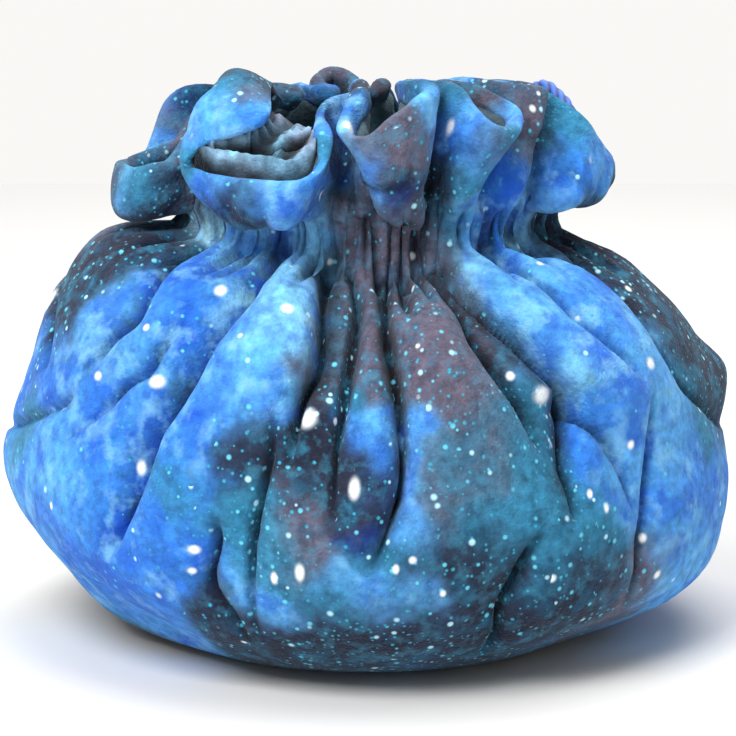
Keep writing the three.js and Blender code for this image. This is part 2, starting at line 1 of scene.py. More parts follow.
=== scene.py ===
"""A gathered plush dice bag with a night-sky print, on a pale studio floor.

Lengths in the tables are millimetres in the model's frame: +Z up, front towards -Y, right towards +X.
Azimuths are degrees from the front, positive to the right. Shares run along the pouch's profile, from the
middle of its base to the neck, or up the ruffle, from the neck to its rim.
"""
import math

import bpy
import numpy as np
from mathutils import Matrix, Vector


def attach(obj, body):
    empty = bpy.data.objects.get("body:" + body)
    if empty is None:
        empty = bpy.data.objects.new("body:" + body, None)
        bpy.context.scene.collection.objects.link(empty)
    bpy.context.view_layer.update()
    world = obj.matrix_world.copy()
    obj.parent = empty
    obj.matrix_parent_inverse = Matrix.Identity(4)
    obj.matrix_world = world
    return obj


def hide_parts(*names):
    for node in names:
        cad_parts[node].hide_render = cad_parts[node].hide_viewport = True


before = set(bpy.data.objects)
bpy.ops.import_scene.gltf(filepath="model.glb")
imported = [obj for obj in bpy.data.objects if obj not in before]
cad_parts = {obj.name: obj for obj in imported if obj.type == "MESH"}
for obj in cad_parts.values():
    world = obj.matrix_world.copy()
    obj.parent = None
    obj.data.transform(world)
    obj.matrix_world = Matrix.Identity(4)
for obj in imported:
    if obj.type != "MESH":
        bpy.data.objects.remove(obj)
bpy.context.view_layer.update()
MM = 0.001
METRE = 1000.0
UP = np.array([0, 0, 1.0])

# Sizes shared with the solid model
NECK_RADIUS = 45.0
NECK_TOP = 99.5
NECK_PINCH = 1.6
EXIT_HEIGHT = 97.0
CORD_RADIUS = 1.5
CORD_START_RADIUS = 37.5
CORD_LIFT = 2.3
FLOOR_LIFT = 1.7
KNOT_HEIGHT = 3.6

# The cord's twist, its colours from groove to crest, darker in the grooves as painted shade, and its knot:
# strand radius, and its loops' proportions
STRANDS = 3
STRAND_PITCH = 9.0
CORD_SIDES = 24
CORD_STEP = 0.5
STRAND_COLOURS = [(0.1, (16, 34, 92)), (0.85, (58, 106, 200))]
KNOT_STRAND = 1.25
KNOT_SIZE = 0.9
KNOT_WIDTH = 1.6
KNOT_FLATNESS = 0.82
KNOT_STEPS = 110

# Cloth thickness round the ruffle, its rolled hem, and the hem's turned edge inside: share and depth
CLOTH = 1.05
HEM_RADIUS = 1.4
HEM_FLATNESS = 0.9
HEM_ANGLES = [22, 45, 68, 90, 112, 135, 158, 180]
HEM_TURN = [(0.975, 1.0), (0.945, 1.0), (0.915, 0.97), (0.89, 0.85), (0.875, 0.45), (0.87, 0.0)]

# The lining: its band laid flat, in metres, and its rows from hem to throat as share of the ruffle and depth
LINING_DEPTHS = [
    (0.9, 0.5), (0.875, 1.0), (0.84, 1.5), (0.78, 1.8), (0.7, 1.9), (0.62, 1.9), (0.54, 1.8), (0.46, 1.6),
    (0.38, 1.3), (0.3, 1.0), (0.22, 0.7),
]
LINING_DARK = (46, 62, 72)
LINING_LIGHT = (98, 124, 134)
# The throat's floor: height, radius, pleats and their height, and its rows' shares of the way out
THROAT_HEIGHT = 106
THROAT_RADIUS = 34
THROAT_PLEATS = 26
THROAT_PLEAT = 1.6
THROAT_SHARES = (0.9, 0.75, 0.58, 0.42, 0.27, 0.13, 0.03)

# The hooded scroll's mouth: neck azimuths of its ends, the sag between them, and where its lining meets
SCROLL_ENDS = (-60.0, -8.5)
SCROLL_SAG = 4.0
MOUTH_SLIT = [(-33, -42, 114.5), (-21, -45.5, 113.5), (-12.5, -41, 117)]
SLIT_DEPTH = 2.5
# The tuck behind the mouth's lips, its width, and how far in the rolls stand in full
LIP_TUCK = 1.8
TUCK_WIDTH = 1.3
ROLL_START = 2.5
# Rolls of the bunched lining: half-width, height, share of it in ribs, and its line, x and z at the slit
RIB_PERIOD = 2.2
MOUTH_ROLLS = [
    (1.6, 2.6, 0.4, [(-36.1, 115.2), (-32, 115.9), (-27.5, 117.1), (-22.9, 118.8), (-19.7, 121.7)]),
    (1.7, 3.0, 0.15, [(-19.7, 113.9), (-18.3, 116.6), (-15.2, 118.7), (-12, 118), (-11.1, 115.3),
        (-13.8, 112), (-16.5, 110.1)]),
    (1.9, 3.0, 0.05, [(-37.1, 113.7), (-32, 112.7), (-26.6, 112), (-21.6, 110.6), (-16.5, 109.9)]),
]
FOLD_COOL = (78, 116, 136)
FOLD_WARM = (100, 102, 120)
# Dots of the lining's print in the mouth: x and z at the slit, and radius
MOUTH_DOTS = [(-28.8, 112.5, 1.2), (-17.2, 119.9, 1.1)]

# Mesh fineness, with more columns in front, fading past this azimuth
COLUMNS = 560
FRONT_EXTRA = 2.4
FRONT_REACH = 52
BODY_SHARES = np.concatenate([np.linspace(0.04, 0.3, 8), np.linspace(0.32, 1, 100)])
COLLAR_SHARES = np.linspace(0.12, 1, 9)
RUFFLE_SHARES = np.linspace(0.03, 1, 38)
PROFILE_STEP = 0.001

# Camera at the photograph's viewing angle and distance, and the floor
CAMERA_DISTANCE = 0.7
CAMERA_ELEVATION = 10.0
CAMERA_TARGET = (0.0, 0.0, 0.0594)
CAMERA_LENS = 146.9
CAMERA_SENSOR = 36.0
FLOOR_CORNERS = [(-3000, -3000, 0), (3000, -3000, 0), (3000, 900, 0), (-3000, 900, 0)]

# The pouch's profile, radius and height, from the middle of the base to the neck
PROFILE = [
    (0, 0), (30, 0), (47, 0), (66, 6), (79, 18), (83.5, 35), (81.5, 50), (78, 63), (72.5, 76), (63, 86),
    (53, 91.5), (NECK_RADIUS, 94.5),
]

# Slumps and bulges: azimuth, its half-width, share of the profile, its half-width, outward and upward offset
BULGES = [
    (92, 36, 0.86, 0.13, 0, -3), (99, 13, 0.705, 0.05, 6.5, 1), (-80, 34, 0.46, 0.09, -4, 2.5),
    (-45, 20, 0.4, 0.08, -5, 1), (48, 18, 0.39, 0.08, -4, 1), (-78, 22, 0.95, 0.07, 2, 3),
    (85, 40, 0.46, 0.08, 1.5, -1), (-93, 16, 0.6, 0.07, 2, 0), (-18, 8, 0.82, 0.12, 3.5, 0),
    (-40, 7, 0.85, 0.1, 2.5, 0), (44, 12, 0.78, 0.12, 3, 0), (12, 6, 0.8, 0.12, 3, 0),
    (1, 3, 0.8, 0.1, 1.5, 0), (-80, 26, 0.86, 0.09, 1, 3.5),
]

# Creases: their gain, the rounding of their bottom, and the depth at which one leans in full
CREASE_GAIN = 1.05
CREASE_SOFTNESS = 0.7
FULL_LEAN = 8
# Turns are measured on no smaller radius than this, and a crease's slant over this step of share
LEAST_RADIUS = 20
SLANT_STEP = 0.005
# The sharp fold at the bottom of a crease: half-width, depth, and the crease depth that gives it in full
FOLD_WIDTH = 0.85
FOLD_DEPTH = 4.4
FULL_FOLD = 3.2
# How much wider the painted shade is under a leaning fold, for each mm that it leans
UNDERCUT_SHADE = 0.9
# How much painted shade darkens the cloth's colour at the bottom of a fold, a gather and a wrinkle, and
# between the lobes
FOLD_SHADE = 0.9
GATHER_SHADE = 0.85
WRINKLE_SHADE = 0.35
RECESS_SHADE = 0.6
# Heights up the cloth: the pouch's top is at 1, the neck's at this one and the rim 1 above it
NECK_LEVEL = 1.1
# Gathers: the height where they are deepest, how fast they fade below and above it, the circle that the
# cloth is laid on to gather it, the length of one unit of height, the wide and fine ones' rise, their sink
GATHER_HEIGHT = 1.05
GATHER_FADE = (0.07, 0.2)
GATHER_CIRCLE = 150
GATHER_LENGTH = 24
GATHER_RISE = (4.6, 2.0)
GATHER_SINK = 2.2
# Lumps and wrinkles of the ruffle, whose cloth dents no further than this, so that its lining stays inside
LUMP_HEIGHT = 1.1
WRINKLE_DEPTH = 0.9
DEEPEST_DENT = -0.6

# Creases of the front: width left and right of the line, lean, then knots of share, azimuth and depth
FRONT_CREASES = [
    (8, 2.2, 3, [(0.53, -43.5, 0), (0.605, -40, 6), (0.65, -38.5, 7.5), (0.695, -37, 8), (0.765, -32.5, 8),
        (0.835, -29.5, 10), (0.88, -26.5, 9), (0.92, -26, 5), (1, -25, 2)]),
    (8, 6, 0, [(0.66, -56, 0), (0.71, -49.5, 2), (0.75, -45, 3), (0.77, -41.5, 3), (0.81, -39.5, 2),
        (0.88, -36, 0)]),
    (8, 3, 2, [(0.74, -54, 0), (0.8, -51.5, 3), (0.84, -48.5, 4), (0.9, -50, 3.5), (0.97, -53, 3),
        (1, -55, 2)]),
    (5, 5, 0, [(0.62, -98, 0), (0.64, -85.5, 2.5), (0.7, -62, 2), (0.73, -56, 0)]),
    (6, 3, 2, [(0.73, -69, 0), (0.785, -75, 3.5), (0.87, -88.5, 4), (1, -92, 2)]),
    (2.5, 6, -3, [(0.67, -12, 0), (0.735, -10.5, 4), (0.765, -9, 6), (0.79, -7.5, 7), (0.815, -7, 7.5),
        (0.855, -7, 7), (0.92, -8.5, 5), (1, -10.5, 3)]),
    (4, 3, 0, [(0.6, -5, 0), (0.665, -5, 2), (0.71, -4.5, 3), (0.755, -3.5, 4), (0.805, -2.5, 4),
        (0.85, -2, 4), (0.92, -2, 4), (1, -4, 3)]),
    (3, 6, 1, [(0.54, 0.5, 0), (0.605, 3, 3), (0.64, 4.5, 4), (0.675, 5, 4.5), (0.725, 5, 5),
        (0.77, 4.5, 5.5), (0.815, 4, 5.5), (0.895, 3.5, 4.5), (1, 5, 3)]),
    (2.5, 2.5, 0, [(0.87, 8, 0), (0.925, 8, 2.5), (1, 8.5, 3)]),
    (3, 4, -1, [(0.67, 28, 0), (0.73, 26, 2.5), (0.76, 24, 4), (0.795, 22, 5), (0.835, 20, 5),
        (0.88, 19, 4), (0.95, 17.5, 3), (1, 17, 2)]),
    (7, 2.5, 2.5, [(0.59, 32, 0), (0.63, 32, 3), (0.66, 31.5, 6), (0.7, 33, 8), (0.73, 34.5, 8.5),
        (0.755, 34, 8), (0.795, 30, 7.5), (0.835, 27, 7), (0.88, 23.5, 6), (0.93, 21, 5), (0.975, 20.5, 4),
        (1, 19.5, 3)]),
    (5, 4, 0, [(0.59, 45, 0), (0.635, 43.5, 2), (0.685, 40.5, 4), (0.72, 36.5, 5), (0.735, 35, 5),
        (0.76, 34, 0)]),
    (3, 3, 0, [(0.73, 49, 0), (0.78, 46.5, 1), (0.81, 43.5, 1.8), (0.845, 40.5, 2.2), (0.89, 39.5, 2.2),
        (0.93, 38, 2), (1, 37, 2)]),
    (3, 8, -2, [(0.62, 96, 0), (0.66, 80, 2), (0.72, 67, 3.5), (0.755, 64, 4), (0.8, 62, 4), (0.885, 63, 4),
        (0.95, 60, 3.5), (0.985, 52, 3), (1, 50, 2)]),
    (6, 4, 0, [(0.43, -20, 0), (0.47, -22.5, 2), (0.49, -24.5, 3.5), (0.515, -25.5, 4), (0.57, -23.5, 3),
        (0.61, -23, 0)]),
    (6, 3, 1.5, [(0.39, 21, 0), (0.435, 21.5, 2), (0.485, 21, 4), (0.52, 22.5, 4), (0.55, 24, 3),
        (0.59, 26, 0)]),
    (9, 9, 0, [(0.46, 47, 0), (0.515, 47, 2), (0.55, 47, 3), (0.62, 49, 3.5), (0.675, 50.5, 2.5),
        (0.74, 51, 0)]),
    (10, 10, 0, [(0.44, -18, 0), (0.52, -18, 2), (0.6, -17, 3), (0.68, -15, 2), (0.75, -14, 0)]),
]
# Creases of the back: their first azimuth and span, how far one shifts and drifts, its lower end's share and
# its depth, each as least and added, its width and how far its sides differ from it, and its lean
BACK_CREASES = 17
BACK_START = 104
BACK_SPAN = 152
BACK_SHIFT = 5
BACK_DRIFT = 9
BACK_END = (0.52, 0.25)
BACK_DEPTH = (3.5, 4)
BACK_WIDTH = (5, 2.2)
BACK_LEAN = 1.5
# Pleats round the neck
NECK_PLEATS = 44
PLEAT_WIDTH = 1.8

# The ruffle's inner bends: neck azimuth, rim azimuth and the rim's rise above the neck
BENDS = [
    (-104, -106, 21.5), (-80, -81.5, 22.5), (-61, -65, 22.5), (-7.5, -9, 24.5), (16.8, 22, 26.5),
    (34.5, 46, 25.5), (50.3, 69, 24.5), (102, 104, 21.5),
]
BEND_RADIUS = 22
BEND_OUT = -7
BEND_UP = 14
# Each lobe's root beside a bend: share of the way to the lobe's first row, rim radius, turn, outward offset
ROOT_ROWS = [(0.33, 27, 5.8, -3), (0.68, 36, 5.2, 2)]
ROOT_UP = 12
ROOT_RISE = 1.5

# Rows of each lobe between two bends: neck azimuth, rim radius, rim azimuth, the rim's rise above the neck,
# and the fold's control point from the neck: outward, upward and sideways
LOBES = [
    [(-99, 42, -104, 17.5, 8, 3, 0), (-95, 45, -98, 18, 13, 2, 0), (-90.5, 45, -92, 21, 14, 4, 0),
     (-87, 41, -87, 25, 11, 8, 0), (-84.5, 35, -87, 25, 4, 12, 0)],
    [(-77, 43, -72, 15, 4, 7, 0), (-75.5, 49, -75, 11.5, 7, 3, -2), (-74, 51.5, -80, 10, 8, 2, -3),
     (-72.4, 55, -83.5, 8.5, 13, -3, -4), (-70.4, 57, -79, 8, 18, -7, -2), (-68, 56, -71, 7.5, 18, -7, -1),
     (-65.5, 53, -65, 8, 14, -5, 0), (-63.8, 47.5, -64, 10.5, 7, 2, 0)],
    # the hooded scroll at the front left, whose upper lip rolls forward over its mouth
    [(-58.5, 27, -54, 26.5, -5, 28, 1), (-57, 33, -42, 27, -2, 38, -1), (-55.5, 40, -33, 25.5, 0, 42, -3),
     (-54, 46, -28, 23.5, 0, 42, -4), (-52.5, 50, -28, 21.8, 1, 42, -4), (-51, 52.5, -33, 20, 2, 40, -4),
     (-49, 54, -39.5, 17.5, 4, 34, -5), (-46.3, 55, -45, 13.5, 7, 24, -7),
     (-42.5, 55.5, -43, 11, 12, 9, -5), (-37, 57, -33, 9.2, 15, 0, -2), (-29, 57.5, -23, 8.1, 15, -3, 0),
     (-21, 57, -16, 8.5, 15, -3, 0), (-16, 54.5, -11.3, 12, 13, 0, 0), (-13.5, 51, -10, 16, 8, 6, 0),
     (-12, 45, -12.5, 19.5, 4, 11, 0), (-10.7, 37, -16.5, 22.5, 1, 14, 0), (-9.5, 28, -17, 24, -3, 15, 0)],
    [(3, 46, -6.5, 20.5, 4, 6, 0), (4.5, 51, -4.5, 19, 12, 0, 0), (6.5, 54.5, 0, 18.8, 15, -3, 0),
     (8.8, 54.5, 5.4, 22, 15, -3, 0), (11, 52.5, 11, 25.5, 14, -3, 0), (12.6, 48, 16.5, 27, 9, 2, 0),
     (13.6, 41, 19, 27.5, 4, 9, 0)],
    [(20, 42, 29, 26, 2, 12, 0), (22, 48, 29.5, 23, 5, 11, 0), (24.5, 52.5, 30.5, 20.3, 7, 10, 0),
     (27, 54, 33.5, 19.3, 7, 10, 0), (29, 52, 38.5, 21, 6, 11, 0), (30.5, 46.5, 43, 23.5, 4, 12, 0)],
    [(38.5, 41, 51, 27, 5, 9, 0), (41.5, 43.5, 56.5, 26.5, 6, 8, 0), (45, 43.5, 61.5, 25.5, 6, 8, 0)],
    [(56, 47.5, 68, 22, 8, 2, -3), (58.5, 52, 67, 19, 13, -1, -6), (62, 54, 69, 16, 14, -2, -6),
     (68, 55, 75, 12, 15, 0, -3), (76, 55, 82, 9, 15, 2, 0), (84, 53.5, 89.5, 8, 14, 2, 0),
     (91, 51, 96, 10, 11, 3, 0), (96, 45.5, 99.5, 14.5, 5, 5, 0)],
]
HOOD_LOBE = 2
# Lobes round the back: rim radius and rise above the neck at the tip, and the turn from tip to side rows
BACK_TIPS = [(49, 17.5), (51, 14.5), (50, 14.5), (44, 24.5), (53, 9.5), (50, 15.5)]
BACK_RIM_RISE = 22.5
BACK_SIDE = 0.24

# The drawcord's tails: exit azimuth, then places as radius, azimuth and rise above the neck; azimuth and
# share on the shoulder; radius, azimuth and height; and x, y on the floor, the last two at the knot and end
TAILS = {
    "drawcord_tail_upper": {
        "exit": 101.5,
        "neck": [(47.8, 102, -1.3), (50.2, 103.2, 3.5), (51, 104.6, 11.5), (49.2, 107.8, 19.4),
            (47.7, 112.2, 22.4), (46.6, 115.4, 23.9), (46.2, 119.8, 23.4), (47, 124.5, 21),
            (50.5, 128.5, 15.5), (57, 132, 8)],
        "shoulder": [(136, 0.9), (138, 0.85), (140, 0.78), (142, 0.7), (144, 0.62), (146, 0.55)],
        "hanging": [(86, 148, 14), (91, 151, 4)],
        "floor": [(40, 91), (29, 101), (10, 107), (-6, 108)],
        "end": [(-16, 107.5), (-26, 106)],
    },
    "drawcord_tail_lower": {
        "exit": 107.5,
        "neck": [(46.9, 108.4, -3), (47.8, 113, -3.7), (48.3, 120, -4), (48.4, 128, -4.1),
            (48.9, 136, -4.2)],
        "shoulder": [(142, 0.955), (147, 0.91), (151, 0.85), (154, 0.78), (156, 0.7), (158, 0.62),
            (160, 0.55)],
        "hanging": [(86, 163, 14), (91, 167, 4)],
        "floor": [(9, 94), (-10, 97.5), (-30, 99.5), (-46, 99)],
        "end": [(-57, 96), (-66, 91.5)],
    },
}

# Colours of the print, as they look in plain light, and how thick the small stars lie on each
PRINT = {
    "azure": (86, 166, 234), "royal": (54, 128, 222), "light": (124, 198, 242), "deep": (18, 40, 112),
    "teal": (48, 126, 164), "plum": (98, 92, 110), "dark": (36, 40, 58), "cyan": (150, 222, 246),
    # pale is partly painted highlight where it lies on the neck's gathers
    "pale": (176, 234, 250),
}
STARRY = {
    "azure": 0.12, "royal": 0.2, "light": 0.1, "deep": 0.45, "teal": 0.75, "plum": 0.7, "dark": 0.85,
    "cyan": 0.1, "pale": 0.0,
}

# Fields of colour on the pouch: azimuth, share of the profile and reach
POUCH_FIELDS = {
    "dark": [
        (-68, 0.88, 16), (-74, 0.82, 13), (-66, 0.96, 14), (-6, 0.66, 10), (-19, 0.66, 8), (12, 0.56, 12),
        (32, 0.49, 15), (22, 0.45, 16), (-3, 0.44, 15), (-20, 0.42, 13), (-24, 0.48, 7), (82, 0.87, 17),
        (83, 0.76, 16), (80, 1.0, 16), (97, 0.82, 18),
    ],
    "plum": [
        (-82, 0.9, 14), (-6, 0.98, 9), (2, 0.96, 12), (10, 1.0, 12), (11, 0.92, 13), (10, 0.84, 13),
        (-3, 0.88, 8), (4, 0.84, 11), (-8.5, 0.76, 8), (-8, 0.59, 10), (17, 0.72, 10), (15, 0.65, 9),
        (48, 0.46, 14), (11, 0.76, 7), (15, 0.79, 7),
    ],
    "royal": [
        (-62, 0.74, 14), (-39, 0.88, 13), (-30, 0.7, 13), (-45, 0.67, 14), (-34, 0.59, 12), (-27, 0.54, 9),
        (-51, 0.51, 16), (49, 0.87, 14), (63, 0.6, 15), (37, 0.68, 8), (-1, 0.69, 7), (-84, 0.72, 12),
    ],
    "azure": [
        (-53, 0.82, 12), (-22, 0.78, 14), (-16, 0.74, 8), (-55, 0.63, 14), (-72, 0.58, 16), (-38, 0.76, 8),
        (31, 0.9, 11), (35, 0.83, 12), (53, 0.78, 14), (53, 0.7, 14), (60, 0.52, 14), (46, 0.61, 12),
        (6, 0.7, 7), (7, 0.61, 8), (0, 0.52, 10), (9, 0.52, 6), (-16, 0.5, 9), (24, 0.8, 6), (3, 0.94, 4),
        (40, 0.94, 10), (56, 0.96, 10), (68, 0.45, 16),
    ],
    # Light fields high on the shoulders: partly print, partly painted highlight
    "light": [
        (-36, 0.97, 12), (-18, 0.97, 11), (-15, 0.86, 13), (28, 0.98, 11), (36, 0.78, 8),
    ],
    "teal": [
        (37, 0.57, 9), (-2, 0.74, 6), (4, 0.57, 8), (15, 0.67, 8), (20, 0.6, 11), (29, 0.64, 10),
        (26, 0.54, 9), (23, 0.72, 8), (-21, 0.61, 9), (-13, 0.56, 9), (-5, 0.5, 8), (-32, 0.64, 8),
        (-75, 0.66, 9), (70, 0.7, 11),
    ],
    "deep": [
        (1, 0.61, 6),
    ],
}
# Fields of colour on the ruffle: x, y, z and reach
RUFFLE_FIELDS = {
    "teal": [
        (-53, -21, 107, 10), (-50, -24, 102, 9), (-38, -4, 125, 6), (-31, -33, 129, 7), (-39, -40, 114, 7),
        (-9, -53, 114, 7), (23, -45, 109, 8), (29, -47, 118, 7), (16, -35, 126, 6), (42, -19, 121, 7),
        (48, -22, 119, 8), (18, -39, 98, 7),
    ],
    "azure": [
        (-56, -20, 103, 8), (-48, -3, 115, 8), (-49, -3, 111, 7), (-34, -37, 125, 9), (-22, -39, 125, 6),
        (-37, -40, 119, 8), (-28, -45, 120, 8), (-34, -47, 110, 7), (-27, -53, 108, 7), (-18, -56, 107, 7),
        (-12, -55, 109, 7), (-10, -43, 121, 6), (9, -35, 128, 6), (14, -47, 128, 6), (-1, -55, 115, 6),
        (6, -53, 103, 7), (18, -38, 122, 7), (21, -44, 113, 8), (32, -41, 122, 6), (52, -23, 113, 8),
        (54, -20, 105, 7), (39, -28, 104, 8), (-3, 26, 124, 6), (-29, -33, 94, 7), (-16, -39, 94, 7),
        (-10, -40, 95, 6), (22, -38, 97, 7), (41, -11, 96, 7),
    ],
    # Some dark and deep fields lie in the valleys at the bends between lobes, where they are painted shade
    "dark": [
        (-52, -23, 98, 7), (-45, -23, 100, 8), (-29, -51, 103, 12), (-25, -50, 100, 9), (9, -53, 109, 8),
        (16, -41, 110, 8), (40, -23, 114, 8), (14, -40, 98, 7), (-40, -19, 94, 7),
    ],
    "plum": [
        (-43, -23, 105, 7), (-44, -3, 119, 9), (-42, -14, 114, 6), (-26, -36, 128, 6), (-2, -37, 126, 5),
        (0, -56, 118, 8), (6, -56, 120, 9), (10, -54, 123, 8), (12, -51, 116, 8), (5, -55, 113, 9),
        (25, -47, 116, 8), (24, -30, 126, 6), (36, -27, 125, 9), (36, -30, 119, 9), (33, -33, 114, 8),
        (31, -27, 126, 6), (-19, 18, 123, 7), (-11, 39, 124, 7), (-6, 40, 124, 7), (4, 25, 123, 6),
        (-5, -40, 95, 7), (-1, -40, 96, 7), (4, -40, 95, 7), (9, -39, 95, 7),
    ],
    "cyan": [
        (-56, -17, 107, 5), (-17, -55, 102, 7), (36, -26, 103, 7), (34, -24, 96, 7),
    ],
    # as with the dark ones, the deep fields in the valleys between lobes are painted shade
    "deep": [
        (-40, -4, 123, 8), (-34, -47, 105, 8), (-7, -36, 114, 6), (10, -51, 104, 7), (-20, -37, 94, 7),
        (25, -32, 97, 7),
    ],
    "royal": [
        (-45, 0, 122, 6), (-25, -43, 124, 8), (-34, -43, 118, 7), (-22, -54, 104, 8), (-14, -55, 105, 8),
        (-37, -44, 108, 6), (-7, -28, 123, 6), (-2, -41, 123, 6), (1, -55, 110, 6), (3, -54, 106, 7),
        (16, -39, 117, 8), (22, -44, 118, 8), (31, -35, 110, 8), (29, -35, 104, 8), (46, -26, 112, 9),
        (50, -27, 107, 8), (42, -28, 107, 8), (-25, -32, 94, 7), (29, -30, 97, 7),
    ],
    # The light fields at the neck, and the pale ones below, are partly print and partly painted highlight on
    # its gathers
    "light": [
        (-5, -50, 120, 5), (43, -29, 102, 7), (38, -16, 95, 7),
    ],
    "pale": [
        (-36, -21, 95, 9), (-33, -24, 93, 8),
    ],
}
# The share of its reach where a field is strong, the turn that keeps a ruffle's field to its own lobe, and
# the weight of the ground between the fields
FIELD_CORE = 0.66
FIELD_TURN = 10.0
GROUND_WEIGHT = 0.015
# Drift of the fields' edges: feature size, reach and seeds
DRIFTS = [(15, 5.0, (3, 5, 7)), (5, 3.0, (11, 13, 17)), (2.2, 1.3, (61, 63, 67))]

# Large stars of the pouch: azimuth, share, half-width and half-height
POUCH_STARS = [
    (30, 0.752, 3.2, 2.2), (-2, 0.647, 1.4, 3.0), (-9, 0.733, 2.4, 2.6), (-39, 0.762, 2.2, 1.6),
    (52, 0.77, 2.0, 1.5), (-41, 0.652, 1.2, 1.9), (-14.5, 0.872, 1.6, 1.4), (-33, 0.905, 1.6, 1.6),
    (-86, 0.8, 2.8, 3.6), (-27, 0.56, 1.6, 1.2), (-28, 0.53, 1.2, 1.0), (-10, 0.545, 1.2, 2.2),
    (-14, 0.535, 0.9, 1.6), (-51, 0.752, 1.3, 1.2), (38, 0.605, 0.9, 1.3), (35, 0.625, 0.8, 1.2),
    (25, 0.78, 1.1, 1.2), (45, 0.675, 1.1, 1.2), (48, 0.55, 1.1, 1.2), (52, 0.5, 1.3, 1.2),
    (11, 0.52, 0.8, 0.9), (-43, 0.83, 1.0, 0.9), (43, 0.94, 1.0, 0.9), (69, 0.88, 1.2, 0.9),
    (-57, 0.58, 0.8, 1.0), (4, 0.552, 0.8, 1.2), (120, 0.7, 2.4, 2.2), (150, 0.62, 1.6, 2.4),
    (178, 0.76, 2.2, 1.6), (-152, 0.68, 2.6, 2.0), (-124, 0.6, 1.5, 2.0), (-170, 0.52, 1.6, 1.4),
    (136, 0.84, 1.4, 1.2),
]
# Large stars of the ruffle: x, y, z, half-width and half-height
RUFFLE_STARS = [
    (-4, -47, 120, 1.9, 2.0), (18, -40, 119, 1.4, 2.5), (50, -25, 111, 0.9, 1.7), (-10, -45, 105, 0.8, 1.6),
]
STAR_COLOUR = (250, 254, 255)
# Drifting clouds in the print: feature size, strength, colour, and whether they lie on the blue fields
DUST = [
    (16.0, 0.8, (26, 88, 208), True), (9.0, 0.6, (20, 78, 196), True), (7.0, 0.5, (146, 214, 250), True),
    (6.5, 0.55, (26, 104, 140), False), (3.0, 0.5, (20, 34, 62), False), (4.0, 0.4, (70, 160, 196), False),
]
# Layers of specks: cell size, speck radius as a share of the cell, share of cells that hold one, colour
SPECKS = [
    (1.6, 0.38, 0.85, (58, 160, 192)), (2.5, 0.34, 0.75, (100, 202, 230)),
    (4.2, 0.25, 0.8, (180, 232, 250)), (9.0, 0.15, 0.7, (240, 250, 255)),
]


def wrap(degrees):
    """Angles brought between -180 and 180 degrees."""
    return (np.asarray(degrees, float) + 180) % 360 - 180


def polar(r, azimuth, z):
    """Points at those radii, azimuths and heights."""
    angle = np.radians(azimuth)
    r, angle, z = np.broadcast_arrays(np.asarray(r, float), angle, np.asarray(z, float))
    return np.stack([r * np.sin(angle), -r * np.cos(angle), z], -1)


def vary(k, step):
    """A fixed, even-looking variation between 0 and 1."""
    return math.sin(k * 12.9898 + step * 78.233) * 43758.5453 % 1.0


def ramp(x, start, length):
    """A rise from 0 at the start to 1 a length further on."""
    return np.clip((x - start) / length, 0, 1)


def hump(x, width):
    """A soft bump: 1 at zero, fading past the width on both sides."""
    return np.exp(-((x / width) ** 2))


def mix(first, last, share):
    """What lies that share of the way from the first to the last."""
    return np.asarray(first) + (np.asarray(last) - first) * share


def smooth(x, xs, ys):
    """A smooth curve through knots: xs rise, and ys holds a value or a row of values for each."""
    x = np.clip(np.asarray(x, float), xs[0], xs[-1])
    xs = np.asarray(xs, float)
    ys = np.asarray(ys, float)
    low = np.maximum(np.arange(len(xs)) - 1, 0)
    high = np.minimum(np.arange(len(xs)) + 1, len(xs) - 1)
    flat = (xs[high] - xs[low]).reshape((-1,) + (1,) * (ys.ndim - 1))
    slopes = (ys[high] - ys[low]) / flat
    i = np.clip(np.searchsorted(xs, x, side="right") - 1, 0, len(xs) - 2)
    h = xs[i + 1] - xs[i]
    s = (x - xs[i]) / h
    if ys.ndim > 1:
        h = h[..., None]
        s = s[..., None]
    a = 2 * s**3 - 3 * s**2 + 1
    b = (s**3 - 2 * s**2 + s) * h
    c = (s**3 - s**2) * h
    return a * ys[i] + b * slopes[i] + (1 - a) * ys[i + 1] + c * slopes[i + 1]


def arc_lengths(path):
    """How far along the path each of its points is."""
    return np.concatenate([[0], np.cumsum(np.linalg.norm(np.diff(path, axis=0), axis=1))])


def noise(points, size, seed):
    """Smooth noise from -1 to 1 with features of that size, in the points' units."""
    q = points / size + seed * 17.31
    base = np.floor(q).astype(np.int64)
    f = q - base
    f = f * f * (3 - 2 * f)
    total = np.zeros(points.shape[:-1])
    for corner in np.ndindex(2, 2, 2):
        cell = base + np.array(corner)
        mixed = cell[..., 0] * 73856093 ^ cell[..., 1] * 19349663 ^ cell[..., 2] * 83492791
        mixed = (mixed ^ mixed >> 13) * 1274126177 & 0x7FFFFFFF
        weight = np.prod(np.where(np.array(corner) == 1, f, 1 - f), axis=-1)
        total += weight * (mixed / 0x3FFFFFFF - 1)
    return total


def noises(points, size, seeds):
    """A noise for each seed, side by side."""
    return np.stack([noise(points, size, seed) for seed in seeds], -1)


def layered(points, layers):
    """A sum of noises, each given as weight, feature size and seed."""
    return sum(weight * noise(points, size, seed) for weight, size, seed in layers)


